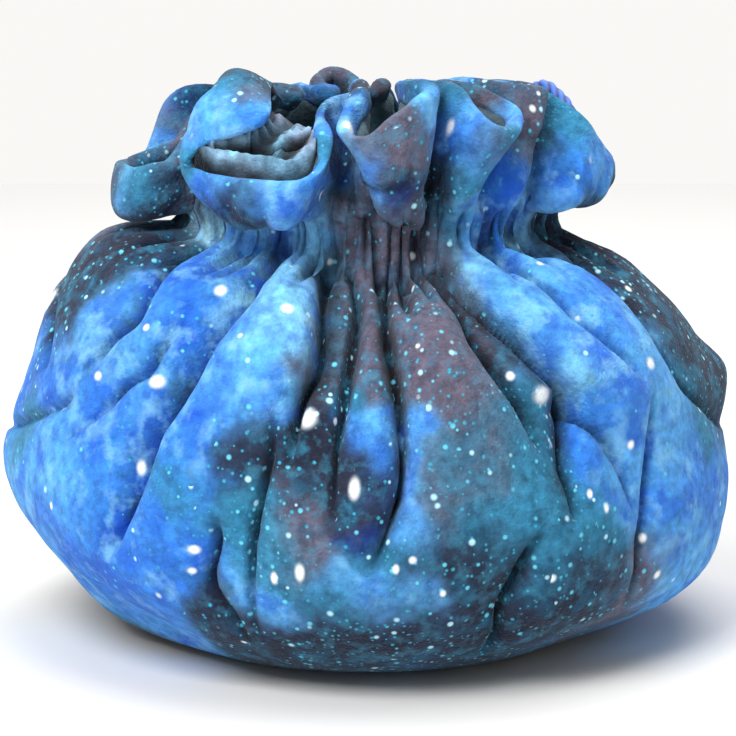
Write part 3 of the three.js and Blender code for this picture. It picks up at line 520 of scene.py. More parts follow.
def all_creases():
    """The creases of the front and back, and the pleats at the neck."""
    creases = list(FRONT_CREASES)
    for k in range(BACK_CREASES):
        azimuth = BACK_START + BACK_SPAN * (k + 0.5) / BACK_CREASES + BACK_SHIFT * (vary(k, 1) - 0.5)
        drift = BACK_DRIFT * (vary(k, 2) - 0.5)
        end = BACK_END[0] + BACK_END[1] * vary(k, 3)
        deep = BACK_DEPTH[0] + BACK_DEPTH[1] * vary(k, 4)
        side = 1 if vary(k, 5) > 0.5 else -1
        knots = [
            (end, azimuth + drift, 0),
            (0.5 * (0.85 + end), azimuth + 0.8 * drift, 0.8 * deep),
            (0.85, azimuth + 0.5 * drift, deep),
            (0.92, azimuth + 0.2 * drift, 0.7 * deep),
            (1, azimuth, 2.5),
        ]
        extra = BACK_WIDTH[1] * side
        creases.append((BACK_WIDTH[0] - extra, BACK_WIDTH[0] + extra, -BACK_LEAN * side, knots))
    for k in range(NECK_PLEATS):
        azimuth = 360 * (k + 0.7 * (vary(k, 6) - 0.5)) / NECK_PLEATS
        top = 0.94 - 0.05 * vary(k, 7)
        knots = [(top, azimuth + 2 * (vary(k, 8) - 0.5), 0), (0.965, azimuth, 1.8), (1, azimuth, 2.2)]
        creases.append((PLEAT_WIDTH, PLEAT_WIDTH, 0, knots))
    return creases


CREASES = all_creases()
PROFILE_ARC = arc_lengths(np.array(PROFILE, float))
PROFILE_SHARES = PROFILE_ARC / PROFILE_ARC[-1]


def crease_pull(azimuth, share, r):
    """How far the creases draw the cloth in and aside, how near a fold's bottom is, and its painted shade.
    """
    inward, sideways, fold, dark = np.zeros((4,) + share.shape)
    for left, right, lean, knots in CREASES:
        shares, path, depths = np.array(knots, float).T
        live = (share >= shares[0]) & (share <= shares[-1])
        across = np.radians(wrap(azimuth - smooth(share, shares, path))) * np.maximum(r, LEAST_RADIUS)
        away = np.sqrt(across**2 + CREASE_SOFTNESS**2) - CREASE_SOFTNESS
        line = np.interp(share, shares, depths) * live
        depth = line * np.exp(-away / np.where(across < 0, left, right))
        inward += CREASE_GAIN * depth
        sideways += lean * depth / FULL_LEAN
        ahead = smooth(share + SLANT_STEP, shares, path) - smooth(share - SLANT_STEP, shares, path)
        slant = np.abs(np.radians(ahead)) * np.maximum(r, LEAST_RADIUS) / (2 * SLANT_STEP * PROFILE_ARC[-1])
        sharp = np.clip(line / FULL_FOLD, 0, 1) / (1 + (slant / 2) ** 2)
        spread = np.sqrt(1 + slant**2)
        flank = FOLD_WIDTH + np.where(across * lean < 0, UNDERCUT_SHADE * abs(lean), 0)
        fold = np.maximum(fold, sharp * hump(across, FOLD_WIDTH * spread))
        dark = np.maximum(dark, sharp * hump(across, flank * spread))
    return inward, sideways, fold, dark


def pouch(azimuth, share, lift=0.0, creased=True):
    """Points of the pouch at neck azimuths and shares of the profile, lifted off it."""
    azimuth, share = np.broadcast_arrays(np.asarray(azimuth, float), np.asarray(share, float))
    r, z = np.moveaxis(smooth(share, PROFILE_SHARES, PROFILE), -1, 0).copy()
    low = smooth(np.maximum(share - PROFILE_STEP, 0), PROFILE_SHARES, PROFILE)
    high = smooth(np.minimum(share + PROFILE_STEP, 1), PROFILE_SHARES, PROFILE)
    along = high - low
    length = np.linalg.norm(along, axis=-1)
    outward = along[..., 1] / length
    upward = -along[..., 0] / length
    for place, width, middle, reach, out, up in BULGES:
        weight = hump(wrap(azimuth - place), width) * hump(share - middle, reach)
        r = r + out * weight
        z = z + up * weight
    inward = np.full(share.shape, -float(lift))
    sideways = np.zeros(share.shape)
    if creased:
        drawn, sideways, fold, _ = crease_pull(azimuth, share, r)
        inward = inward + drawn + FOLD_DEPTH * fold
    r = np.maximum(r - outward * inward, 0)
    z = np.maximum(z - upward * inward, 0)
    return polar(r, azimuth + np.degrees(sideways / np.maximum(r, LEAST_RADIUS)), z)


def root_rows(bend, reach):
    """Rows of a lobe's root from a bend to the lobe's own rows, which are that turn away."""
    way = math.copysign(1, reach)
    rise = bend[2] + ROOT_RISE
    return [
        (bend[0] + share * reach, r, bend[1] + way * turn, rise, out, ROOT_UP, 0)
        for share, r, turn, out in ROOT_ROWS
    ]


def rim_rows():
    """All rows of the rim in order round the neck."""
    bends = list(BENDS)
    lobes = list(LOBES)
    first = BENDS[-1]
    neck_step = (BENDS[0][0] + 360 - first[0]) / len(BACK_TIPS)
    rim_step = (BENDS[0][1] + 360 - first[1]) / len(BACK_TIPS)
    for k, (tip, rise) in enumerate(BACK_TIPS):
        azimuth = first[0] + neck_step * (k + 0.5)
        rim = first[1] + rim_step * (k + 0.5)
        # the further a tip hangs down, the further out and down its fold reaches
        drop = BACK_RIM_RISE - rise
        out = 13 + 0.4 * drop
        up = 4 - drop
        side = (BACK_RIM_RISE - 0.6 * drop, 0.8 * out, 0.3 * up + 4, 0)
        turn = BACK_SIDE * neck_step
        lobes.append([
            (azimuth - turn, 0.91 * tip, rim - turn, *side),
            (azimuth, tip, rim, rise, out, up, 0),
            (azimuth + turn, 0.91 * tip, rim + turn, *side),
        ])
        if k > 0:
            bends.append((first[0] + neck_step * k, first[1] + rim_step * k, BENDS[0][2]))
    ends = bends[1:] + [(bends[0][0] + 360, bends[0][1] + 360, bends[0][2])]
    rows = []
    for k, (bend, after, lobe) in enumerate(zip(bends, ends, lobes)):
        rows.append((bend[0], BEND_RADIUS, bend[1], bend[2], BEND_OUT, BEND_UP, 0))
        if k == HOOD_LOBE:
            rows.extend(lobe)
        else:
            leading = root_rows(bend, lobe[0][0] - bend[0])
            trailing = root_rows(after, lobe[-1][0] - after[0])
            rows.extend(leading + lobe + trailing[::-1])
    return np.array(rows, float)


def rim_curve():
    """The rim's knots round the neck, run on past both ends, with its points and control offsets."""
    rows = rim_rows()
    rows = np.concatenate([rows[-3:], rows, rows[:3]])
    knots = rows[:, 0].copy()
    knots[:3] -= 360
    knots[-3:] += 360
    return knots, np.concatenate([polar(rows[:, 1], rows[:, 2], NECK_TOP + rows[:, 3]), rows[:, 4:]], axis=1)


RIM_KNOTS, RIM_VALUES = rim_curve()


def column_azimuths(count):
    """Neck azimuths of the columns, shared between the neck, the rim and a finer front."""
    fine = np.linspace(BENDS[0][0], BENDS[0][0] + 360, 3601)
    rim = smooth(fine, RIM_KNOTS, RIM_VALUES)[:, :3]
    along = np.linalg.norm(np.diff(rim, axis=0), axis=1)
    front = 1 + FRONT_EXTRA * hump(fine[1:], FRONT_REACH)
    passed = np.concatenate([[0], np.cumsum(along / along.sum() + front / front.sum())])
    return np.interp(np.arange(count) / count, passed / passed[-1], fine)


def ruffle(azimuth, shares, neck):
    """Rows of the ruffle's middle surface: share 0 at the neck points, 1 at the rim."""
    row = smooth(azimuth, RIM_KNOTS, RIM_VALUES)
    out = polar(1, azimuth, 0)
    side = polar(1, azimuth + 90, 0)
    control = neck + row[:, 3:4] * out + row[:, 5:6] * side + row[:, 4:5] * UP
    s = np.asarray(shares, float)[:, None, None]
    return (1 - s) ** 2 * neck + 2 * s * (1 - s) * control + s**2 * row[:, :3]


def grid_normals(grid):
    """Outward unit normals of a grid whose columns close on themselves, and the way up its rows."""
    across = np.roll(grid, -1, axis=1) - np.roll(grid, 1, axis=1)
    up = np.gradient(grid, axis=0)
    normal = np.cross(across, up)
    normal /= np.maximum(np.linalg.norm(normal, axis=-1, keepdims=True), 1e-9)
    up /= np.maximum(np.linalg.norm(up, axis=-1, keepdims=True), 1e-9)
    return normal, up


def grid_faces(rows, columns, closed=False):
    """Quads of a grid whose columns close on themselves, and whose rows do too where it is closed."""
    i, j = np.meshgrid(np.arange(rows if closed else rows - 1), np.arange(columns), indexing="ij")
    n = (i + 1) % rows
    k = (j + 1) % columns
    faces = np.stack([i * columns + j, i * columns + k, n * columns + k, n * columns + j], -1)
    return faces.reshape(-1, 4).tolist()


def shown(name, data):
    """A new object in the scene."""
    item = bpy.data.objects.new(name, data)
    bpy.context.scene.collection.objects.link(item)
    return item


def mesh_piece(name, points, faces):
    """A smooth-shaded object from points in mm."""
    mesh = bpy.data.meshes.new(name)
    mesh.from_pydata((points * MM).tolist(), [], faces)
    mesh.shade_smooth()
    return shown(name, mesh)


def store(piece, name, kind, field, values):
    """Keeps a value at each point of a piece, for its material to read."""
    layer = piece.data.attributes.new(name, kind, "POINT")
    layer.data.foreach_set(field, values.astype(np.float32).ravel())


def surface_grid(name, rows, colours, tip=None, starry=None):
    """A piece from rows of points in mm, with a colour at each; a tip closes the first row."""
    count = rows.shape[1]
    points = rows.reshape(-1, 3)
    faces = grid_faces(len(rows), count)
    if tip is not None:
        faces.extend([len(points), (j + 1) % count, j] for j in range(count))
        points = np.concatenate([points, [tip]])
        colours = np.concatenate([colours, colours[:1]])
    piece = mesh_piece(name, points, faces)
    layer = piece.data.color_attributes.new("print", "FLOAT_COLOR", "POINT")
    colours = np.concatenate([colours, np.ones((len(points), 1))], axis=1)
    layer.data.foreach_set("color", colours.astype(np.float32).ravel())
    if starry is not None:
        store(piece, "starry", "FLOAT", "value", np.append(starry, starry[:1]))
    return piece


def linear(colour):
    """A colour of 0 to 255 as it looks, in the linear values that materials take."""
    c = np.asarray(colour, float) / 255
    return np.where(c <= 0.04045, c / 12.92, ((c + 0.055) / 1.055) ** 2.4)


# The cloth's middle surface: pouch, pinched collar and ruffle
AZIMUTHS = column_azimuths(COLUMNS)
pouch_rows = pouch(AZIMUTHS[None, :], BODY_SHARES[:, None])
neck = pouch_rows[-1]
neck_r = np.hypot(neck[:, 0], neck[:, 1])
collar_rows = []
for share in COLLAR_SHARES:
    ring = neck * ((neck_r - NECK_PINCH * math.sin(math.pi * share)) / neck_r)[:, None]
    ring[:, 2] = mix(neck[:, 2], NECK_TOP, share)
    collar_rows.append(ring)
collar_rows = np.array(collar_rows)
middle_rows = ruffle(AZIMUTHS, RUFFLE_SHARES, collar_rows[-1])
middle_normals, middle_up = grid_normals(np.concatenate([collar_rows[-1:], middle_rows]))
middle_normals = middle_normals[1:]
middle_up = middle_up[1:]

# Each field's place, the neck azimuth of its lobe where it lies on the ruffle, its reach and its colour
FIELDS = []
for colour, places in POUCH_FIELDS.items():
    for azimuth, share, reach in places:
        FIELDS.append((pouch(azimuth, share, 0, False), None, reach, colour))
for colour, places in RUFFLE_FIELDS.items():
    for x, y, z, reach in places:
        place = np.array([x, y, z], float)
        nearest = np.linalg.norm(middle_rows - place, axis=-1).min(axis=0).argmin()
        FIELDS.append((place, AZIMUTHS[nearest], reach, colour))


def print_colours(points, azimuths):
    """The night-sky print at points of those neck azimuths, and how thick the small stars lie there."""
    moved = points
    for size, reach, seeds in DRIFTS:
        moved = moved + reach * noises(points, size, seeds)
    cloud = layered(points, [(1, 46, 21), (0.5, 20, 23)])
    tint = 0.5 + 0.5 * layered(points, [(1, 30, 27), (0.5, 13, 29)])[:, None]
    share = ramp(cloud, -0.1, 0.3)
    blue = mix(PRINT["royal"], PRINT["azure"], tint)
    dusk = mix(PRINT["dark"], PRINT["plum"], tint)
    ground = mix(mix(blue, dusk, share[:, None]), PRINT["teal"], 0.6 * hump(cloud - 0.02, 0.14)[:, None])
    total = np.full(len(points), GROUND_WEIGHT)
    mixed = ground * total[:, None]
    starry = total * (0.2 + 0.6 * share)
    for place, turn, reach, colour in FIELDS:
        near = np.linalg.norm(moved - place, axis=1) / (FIELD_CORE * reach)
        if turn is not None:
            near = np.hypot(1.2 * near, wrap(azimuths - turn) / FIELD_TURN)
        weight = hump(near, 1)
        total += weight
        mixed += weight[:, None] * np.array(PRINT[colour])
        starry += weight * STARRY[colour]
    return linear(np.clip(mixed / total[:, None], 0, 255)), starry / total


def line_distance(points, line):
    """Distance of each point from a line of straight stretches, and how far along the line it is nearest."""
    best = np.full(points.shape[:-1], np.inf)
    place = np.zeros(points.shape[:-1])
    start = 0.0
    for first, last in zip(line[:-1], line[1:]):
        length = np.linalg.norm(last - first)
        along = np.clip((points - first) @ (last - first) / length**2, 0, 1)
        off = np.linalg.norm(points - first - along[..., None] * (last - first), axis=-1)
        place = np.where(off < best, start + along * length, place)
        best = np.minimum(best, off)
        start += length
    return best, place


def inside_row(share, depth):
    """The ruffle's row at that share, moved inside its middle surface by a depth in mm."""
    at = np.interp(share, RUFFLE_SHARES, np.arange(len(RUFFLE_SHARES)))
    low = int(at)
    place = mix(middle_rows[low], middle_rows[low + 1], at - low)
    normal = mix(middle_normals[low], middle_normals[low + 1], at - low)
    return place - normal * depth


# The outer cloth: pouch, collar, ruffle, rolled hem, and its turned edge inside
swell = CLOTH * ramp(RUFFLE_SHARES, 0, 0.4) + (HEM_RADIUS - CLOTH) * ramp(RUFFLE_SHARES, 0.8, 0.15) ** 2
outer_rows = middle_rows + middle_normals * swell[:, None, None]
hem_rows = []
for angle in np.radians(HEM_ANGLES):
    around_hem = math.cos(angle) * middle_normals[-1] + HEM_FLATNESS * math.sin(angle) * middle_up[-1]
    hem_rows.append(middle_rows[-1] + HEM_RADIUS * around_hem)
for share, depth in HEM_TURN:
    hem_rows.append(inside_row(share, HEM_RADIUS * depth))
outer = np.concatenate([pouch_rows, collar_rows, outer_rows, np.array(hem_rows)])
heights = np.concatenate([
    BODY_SHARES, mix(1, NECK_LEVEL, COLLAR_SHARES), NECK_LEVEL + RUFFLE_SHARES,
    np.full(len(hem_rows), NECK_LEVEL + 1),
])[:, None]

# Fine gathers that fade from the neck, wrinkles of the ruffle, and the soft unevenness of stuffed plush
outer_normal, _ = grid_normals(outer)
below_neck = np.exp((heights - GATHER_HEIGHT) / GATHER_FADE[0])
above_neck = np.exp((GATHER_HEIGHT - heights) / GATHER_FADE[1])
near_neck = np.where(heights < GATHER_HEIGHT, below_neck, above_neck)
cloth = polar(GATHER_CIRCLE, 180 - AZIMUTHS, heights * GATHER_LENGTH)
wide_gather = np.abs(noise(cloth, 9, 41))
fine_gather = np.abs(noise(cloth, 4.5, 43))
crumple = ramp(heights, NECK_LEVEL, 0.2)
wrinkle = hump(noise(outer, 12, 73), 0.13) * ramp(-heights, -1.95, 0.14)
uneven = layered(outer, [(0.45, 16, 45), (0.3, 7, 47), (0.12, 3.2, 49)])
uneven += crumple * (LUMP_HEIGHT * noise(outer, 9, 71) - WRINKLE_DEPTH * wrinkle)
gather = GATHER_RISE[0] * wide_gather + GATHER_RISE[1] * fine_gather - GATHER_SINK
lift = near_neck * gather + ramp(heights, 0.3, 0.1) * uneven
lift = np.where(heights > NECK_LEVEL + 0.02, np.maximum(lift, DEEPEST_DENT), lift)
outer = outer + outer_normal * lift[..., None]
outer[..., 2] = np.maximum(outer[..., 2], 0)

# Painted shade darkens the print where the cloth folds into a crease or a gather, between lobes and in
# wrinkles
pouch_r = np.hypot(pouch_rows[..., 0], pouch_rows[..., 1])
_, _, _, dark = crease_pull(*np.broadcast_arrays(AZIMUTHS[None, :], BODY_SHARES[:, None]), pouch_r)
shade = np.ones(outer.shape[:2])
shade[:len(BODY_SHARES)] -= FOLD_SHADE * np.sqrt(dark)
open_cloth = ramp(np.hypot(outer[..., 0], outer[..., 1]), 34, 18)
recess = 1 - open_cloth * open_cloth * (3 - 2 * open_cloth)
shade *= 1 - RECESS_SHADE * recess * ramp(heights, NECK_LEVEL, 0.15)
shade *= 1 - GATHER_SHADE * near_neck * hump(wide_gather, 0.18)
shade *= 1 - WRINKLE_SHADE * crumple * wrinkle
bag_colours, bag_starry = print_colours(outer.reshape(-1, 3), np.tile(AZIMUTHS, len(outer)))
bag = surface_grid("plush_bag", outer, bag_colours * shade.reshape(-1, 1), (0, 0, 0), bag_starry)

# In the hooded scroll the lining bunches up: puckered rolls along the lips that meet in a dark slit
lining_rows = np.array([inside_row(share, depth) for share, depth in LINING_DEPTHS])
in_scroll = (AZIMUTHS > SCROLL_ENDS[0]) & (AZIMUTHS < SCROLL_ENDS[1])
mouth = lining_rows[1][in_scroll]
along = np.linspace(0, 1, 26)[1:-1, None]
closing = mix(mouth[-1], mouth[0], along) - np.sin(math.pi * along) * SCROLL_SAG * UP
mouth = np.concatenate([mouth, closing])
mouth_axis = np.cross(mouth - mouth[0], np.roll(mouth, -1, axis=0) - mouth[0]).sum(axis=0)
mouth_axis *= -np.sign(mouth_axis[1]) / np.linalg.norm(mouth_axis)
slit_x, slit_y, slit_z = np.array(MOUTH_SLIT).T
across = np.clip(mouth[:, 0], slit_x[0], slit_x[-1])
slit = np.stack([across, np.interp(across, slit_x, slit_y), np.interp(across, slit_x, slit_z)], axis=-1)
inward = np.linspace(0, 1, 44)[:, None]
folds = mix(mouth, slit, inward[..., None])
from_lip = inward * np.linalg.norm(slit - mouth, axis=1)
slope = math.tan(math.radians(CAMERA_ELEVATION))
facing = np.stack([folds[..., 0], folds[..., 2] + (folds[..., 1] - MOUTH_SLIT[1][1]) * slope], axis=-1)
facing = facing + 0.35 * noises(folds, 5, (81, 83))
relief = np.zeros(folds.shape[:2])
for half_width, height, rib, line in MOUTH_ROLLS:
    off, along = line_distance(facing, np.array(line))
    ribs = 1 + rib * np.sin(2 * math.pi * along / RIB_PERIOD + 2 * noise(folds, 6, 85))
    relief = np.maximum(relief, height * ribs * hump(off, half_width))
relief = ramp(from_lip, 0, ROLL_START) * (relief + 0.5 * noise(folds, 3.5, 87))
relief -= LIP_TUCK * hump(from_lip, TUCK_WIDTH) + SLIT_DEPTH * ramp(inward, 0.8, 0.2) ** 2
folds = folds + relief[..., None] * mouth_axis

# Its colour holds painted shade behind the lips and in the slit, less on the back of the fold, and painted
# highlights that make it lighter on the rolls
crest = ramp(relief, -0.4, 3)[..., None]
warm = np.clip(0.5 + 0.8 * noise(folds, 8, 89), 0, 1)[..., None]
mottled = 1 + 0.7 * noise(folds, 2.6, 91)[..., None]
# painted shadow along the lips, fading over the first few mm inward
clear_of_lip_shadow = ramp(from_lip, 2.4, 2.0)[..., None]
behind = ramp(facing[..., 1:], 119, 5)
fold_colours = linear(mix(FOLD_COOL, FOLD_WARM, warm))
fold_colours = fold_colours * (0.05 + clear_of_lip_shadow * (1.8 * crest**1.5 * mottled + 0.3 * behind))
for x, z, radius in MOUTH_DOTS:
    off = np.hypot(facing[..., 0] - x, facing[..., 1] - z)
    nearest = folds[off < radius][:, 1].min()
    dot = np.clip(1.5 - np.hypot(off, folds[..., 1] - nearest - radius) / radius, 0, 1)[..., None]
    fold_colours = mix(fold_colours, linear(PRINT["cyan"]), dot)
fold_piece = surface_grid("scroll_lining_folds", folds, fold_colours.reshape(-1, 3))

# The rest of the lining is tucked under the hem, puckered, and drawn together in the throat
foot = lining_rows[-1]
foot_r = np.hypot(foot[:, 0], foot[:, 1])
foot_azimuth = np.degrees(np.arctan2(foot[:, 0], -foot[:, 1]))
inner_r = np.minimum(foot_r, THROAT_RADIUS)
throat_rows = []
for share in THROAT_SHARES:
    pleat = 2 * THROAT_PLEAT * share * (1 - share) * np.sin(np.radians(THROAT_PLEATS * AZIMUTHS))
    height = mix(THROAT_HEIGHT, foot[:, 2], share**3) + pleat
    throat_rows.append(polar(inner_r * share + (foot_r - inner_r) * share**4, foot_azimuth, height))
lining = np.concatenate([lining_rows, np.array(throat_rows)])[::-1]
lining_normal, _ = grid_normals(lining)
lining = lining + lining_normal * layered(lining, [(0.7, 5, 51), (0.35, 2.4, 53)])[..., None]
lining_points = lining.reshape(-1, 3)
tone = 0.5 + 0.5 * np.clip(layered(lining_points, [(1, 9, 31), (0.5, 4, 33)]), -1, 1)[:, None]
lining_colours = linear(mix(LINING_DARK, LINING_LIGHT, tone))
throat = (0, 0, lining[0, :, 2].mean() - 0.5)
lining_piece = surface_grid("ruffle_lining_cloth", lining, lining_colours, throat)


def tail_route(tail):
    """The places that a tail of the cord passes, from its exit to its end."""
    points = [polar(r, tail["exit"], EXIT_HEIGHT) for r in (CORD_START_RADIUS, NECK_RADIUS - 0.5)]
    points += [polar(r, azimuth, NECK_TOP + rise) for r, azimuth, rise in tail["neck"]]
    points += [pouch(azimuth, share, CORD_LIFT, False) for azimuth, share in tail["shoulder"]]
    points += [polar(*place) for place in tail["hanging"]]
    points += [np.array([x, y, FLOOR_LIFT]) for x, y in tail["floor"]]
    points.append(np.array([*tail["end"][0], KNOT_HEIGHT]))
    points.append(np.array([*tail["end"][1], FLOOR_LIFT]))
    return np.array(points)


def between(t, first, last, a, b):
    """The point at t on the way from a at the first to b at the last."""
    return (last - t) / (last - first) * a + (t - first) / (last - first) * b


def centripetal(points, step):
    """A smooth curve through the points, as an even row of points that far apart."""
    ends = np.concatenate([[2 * points[0] - points[1]], points, [2 * points[-1] - points[-2]]])
    curve = []
    for p0, p1, p2, p3 in zip(ends, ends[1:], ends[2:], ends[3:]):
        t1 = np.linalg.norm(p1 - p0) ** 0.5
        t2 = t1 + np.linalg.norm(p2 - p1) ** 0.5
        t3 = t2 + np.linalg.norm(p3 - p2) ** 0.5
        t = np.linspace(t1, t2, 40)[:-1, None]
        a1 = between(t, 0.0, t1, p0, p1)
        a2 = between(t, t1, t2, p1, p2)
        a3 = between(t, t2, t3, p2, p3)
        b1 = between(t, 0.0, t2, a1, a2)
        b2 = between(t, t1, t3, a2, a3)
        curve.append(between(t, t1, t2, b1, b2))
    curve = np.concatenate(curve + [points[-1:]])
    arc = arc_lengths(curve)
    even = np.linspace(0, arc[-1], int(round(arc[-1] / step)) + 1)
    return np.stack([np.interp(even, arc, curve[:, c]) for c in range(3)], -1)


def rope(name, path, radius, closed=False):
    """A twisted rope round a row of points, as a mesh with a groove between its strands."""
    tangent = np.roll(path, -1, axis=0) - np.roll(path, 1, axis=0) if closed else np.gradient(path, axis=0)
    tangent /= np.linalg.norm(tangent, axis=1, keepdims=True)
    normal = np.cross(tangent[0], UP)
    if np.linalg.norm(normal) < 0.1:
        normal = np.cross(tangent[0], (0, 1.0, 0))
    sides = []
    for t in tangent:
        normal = normal - t * np.dot(normal, t)
        normal /= np.linalg.norm(normal)
        sides.append(normal)
    sides = np.array(sides)
    other = np.cross(tangent, sides)
    arc = arc_lengths(path)
    angle = np.linspace(0, 2 * math.pi, CORD_SIDES, endpoint=False)
    twist = 2 * math.pi * arc / STRAND_PITCH
    lobe = np.abs(np.cos(0.5 * STRANDS * (angle[None, :] - twist[:, None])))
    r = radius * (0.7 + 0.3 * lobe**0.7)
    ring = sides[:, None] * np.cos(angle)[None, :, None] + other[:, None] * np.sin(angle)[None, :, None]
    points = path[:, None] + ring * r[..., None]
    points[..., 2] = np.maximum(points[..., 2], 0.1)
    faces = grid_faces(len(path), CORD_SIDES, closed)
    if not closed:
        end = np.arange(CORD_SIDES)
        faces.append(end[::-1].tolist())
        faces.append(((len(path) - 1) * CORD_SIDES + end).tolist())
    piece = mesh_piece(name, points.reshape(-1, 3), faces)
    store(piece, "groove", "FLOAT", "value", lobe)
    line = np.broadcast_arrays(arc[:, None], np.cos(angle) * radius, np.sin(angle) * radius)
    store(piece, "fibre", "FLOAT_VECTOR", "vector", np.stack(line, -1))
    return piece


def knot_loops(tail):
    """The closed path of a trefoil knot at the tail's end, lying along the cord."""
    (x, y), (end_x, end_y) = tail["end"]
    turn = np.linspace(0, 2 * math.pi, KNOT_STEPS, endpoint=False)[:, None]
    heading = math.atan2(end_y - y, end_x - x)
    along = np.array([math.cos(heading), math.sin(heading), 0])
    across = np.array([-math.sin(heading), math.cos(heading), 0])
    lengthways = np.sin(turn) + 2 * np.sin(2 * turn)
    sideways = -KNOT_WIDTH * np.sin(3 * turn)
    upward = KNOT_FLATNESS * (np.cos(turn) - 2 * np.cos(2 * turn))
    return np.array([x, y, KNOT_HEIGHT]) + KNOT_SIZE * (lengthways * along + sideways * across + upward * UP)


cords = []
for node, tail in TAILS.items():
    path = centripetal(tail_route(tail), CORD_STEP)
    piece = rope(node.replace("drawcord_", "rope_"), path, CORD_RADIUS)
    knot = rope(node.replace("drawcord_tail", "rope_knot"), knot_loops(tail), KNOT_STRAND, True)
    cords.append((node, piece, knot, path))


def feed(tree, node, inputs):
    """Gives each of a node's inputs its value or the socket that it reads."""
    for key, value in inputs.items():
        if isinstance(value, bpy.types.NodeSocket):
            tree.links.new(value, node.inputs[key])
        else:
            node.inputs[key].default_value = value


def add(tree, kind, inputs=None, **settings):
    node = tree.nodes.new("ShaderNode" + kind)
    for key, value in settings.items():
        setattr(node, key, value)
    feed(tree, node, inputs or {})
    return node


def shader(name):
    """A new material, its tree and its surface."""
    material = bpy.data.materials.new(name)
    material.use_nodes = True
    tree = material.node_tree
    return material, tree, tree.nodes["Principled BSDF"]


def clouds(tree, place, scale, detail, roughness):
    inputs = {"Vector": place, "Scale": scale, "Detail": detail, "Roughness": roughness}
    return add(tree, "TexNoise", inputs).outputs["Fac"]


def level(tree, value, span, result, **settings):
    """A value's span laid onto a span of results."""
    inputs = dict(zip(("Value", "From Min", "From Max", "To Min", "To Max"), (value, *span, *result)))
    return add(tree, "MapRange", inputs, **settings).outputs["Result"]


def arithmetic(tree, operation, *values):
    return add(tree, "Math", dict(enumerate(values)), operation=operation).outputs["Value"]


def vector_arithmetic(tree, operation, *values):
    return add(tree, "VectorMath", dict(enumerate(values)), operation=operation).outputs["Vector"]


def painted(tree, colour, share, tint):
    """A tint laid over a colour by that share."""
    inputs = {0: share, 6: colour, 7: (*linear(tint), 1.0)}
    return add(tree, "Mix", inputs, data_type="RGBA").outputs[2]


def plush(name, stars):
    """Short plush pile: a printed colour with star specks, a soft sheen and a mottled nap."""
    material, tree, surface = shader(name)
    place = add(tree, "TexCoord").outputs["Object"]
    colour = add(tree, "VertexColor", layer_name="print").outputs["Color"]

    # drifting grain of the print itself
    grain = level(tree, clouds(tree, place, 420.0, 3.0, 0.6), (0.28, 0.72), (0.62, 1.3))
    colour = add(tree, "VectorMath", {0: colour, "Scale": grain}, operation="SCALE").outputs["Vector"]
    if stars:
        starry = add(tree, "Attribute", attribute_name="starry").outputs["Fac"]
        colour = dust(tree, place, colour, starry)
        colour = star_specks(tree, place, colour, starry)
        colour = large_stars(tree, place, colour)

    # nap: fine pile bump, and patches that lie a little differently
    pile = clouds(tree, place, 1500.0, 2.0, 0.7)
    patch = clouds(tree, place, 260.0, 3.0, 0.65)
    nap = arithmetic(tree, "MULTIPLY_ADD", patch, 0.9, pile)
    bump = add(tree, "Bump", {"Strength": 0.55, "Distance": 0.0011, "Height": nap})
    feed(tree, surface, {
        "Base Color": colour, "Normal": bump.outputs["Normal"], "Roughness": 0.88,
        "Specular IOR Level": 0.18, "Sheen Weight": 0.1, "Sheen Roughness": 0.45,
        "Sheen Tint": (0.72, 0.86, 1.0, 1.0),
    })
    return material


def dust(tree, place, colour, starry):
    """Drifting clouds over the print."""
    clear = level(tree, starry, (0.2, 0.45), (1.0, 0.0))
    for k, (size, strength, tint, on_blue) in enumerate(DUST):
        moved = vector_arithmetic(tree, "ADD", place, (0.31 * k, 0.17 * k, 0.23 * k))
        thick = level(tree, clouds(tree, moved, METRE / size, 3.0, 0.6), (0.5, 0.68), (0.0, strength))
        faded = arithmetic(tree, "MULTIPLY", thick, clear if on_blue else starry)
        colour = painted(tree, colour, faded, tint)
    return colour


def star_specks(tree, place, colour, starry):
    """Small stars, in crowds that follow the print."""
    crowd = level(tree, clouds(tree, place, 60.0, 2.0, 0.5), (0.36, 0.64), (0.25, 1.3))
    density = arithmetic(tree, "MULTIPLY", crowd, starry)
    for cell, radius, share, tint in SPECKS:
        cells = add(tree, "TexVoronoi", {"Vector": place, "Scale": METRE / cell, "Randomness": 1.0}).outputs
        picked = add(tree, "SeparateColor", {"Color": cells["Color"]}).outputs
        limit = arithmetic(tree, "MULTIPLY", density, share)
        chosen = arithmetic(tree, "LESS_THAN", picked["Red"], limit)
        size = level(tree, picked["Green"], (0.0, 1.0), (0.5 * radius, radius))
        core = arithmetic(tree, "MULTIPLY", size, 0.35)
        spot = level(tree, cells["Distance"], (core, size), (1.0, 0.0), interpolation_type="SMOOTHSTEP")
        colour = painted(tree, colour, arithmetic(tree, "MULTIPLY", spot, chosen), tint)
    return colour


def large_stars(tree, place, colour):
    """The large round stars, each in its own place."""
    stars = [(pouch(azimuth, share), wide, high) for azimuth, share, wide, high in POUCH_STARS]
    stars += [(np.array([x, y, z], float), wide, high) for x, y, z, wide, high in RUFFLE_STARS]
    brightest = 0.0
    for centre, wide, high in stars:
        away = vector_arithmetic(tree, "SUBTRACT", place, tuple(centre * MM))
        shape = vector_arithmetic(tree, "MULTIPLY", away, (METRE / wide, METRE / wide, METRE / high))
        reach = add(tree, "VectorMath", {0: shape}, operation="LENGTH").outputs["Value"]
        glow = level(tree, reach, (0.25, 1.3), (1.0, 0.0), interpolation_type="SMOOTHERSTEP")
        brightest = arithmetic(tree, "MAXIMUM", brightest, glow)
    return painted(tree, colour, brightest, STAR_COLOUR)


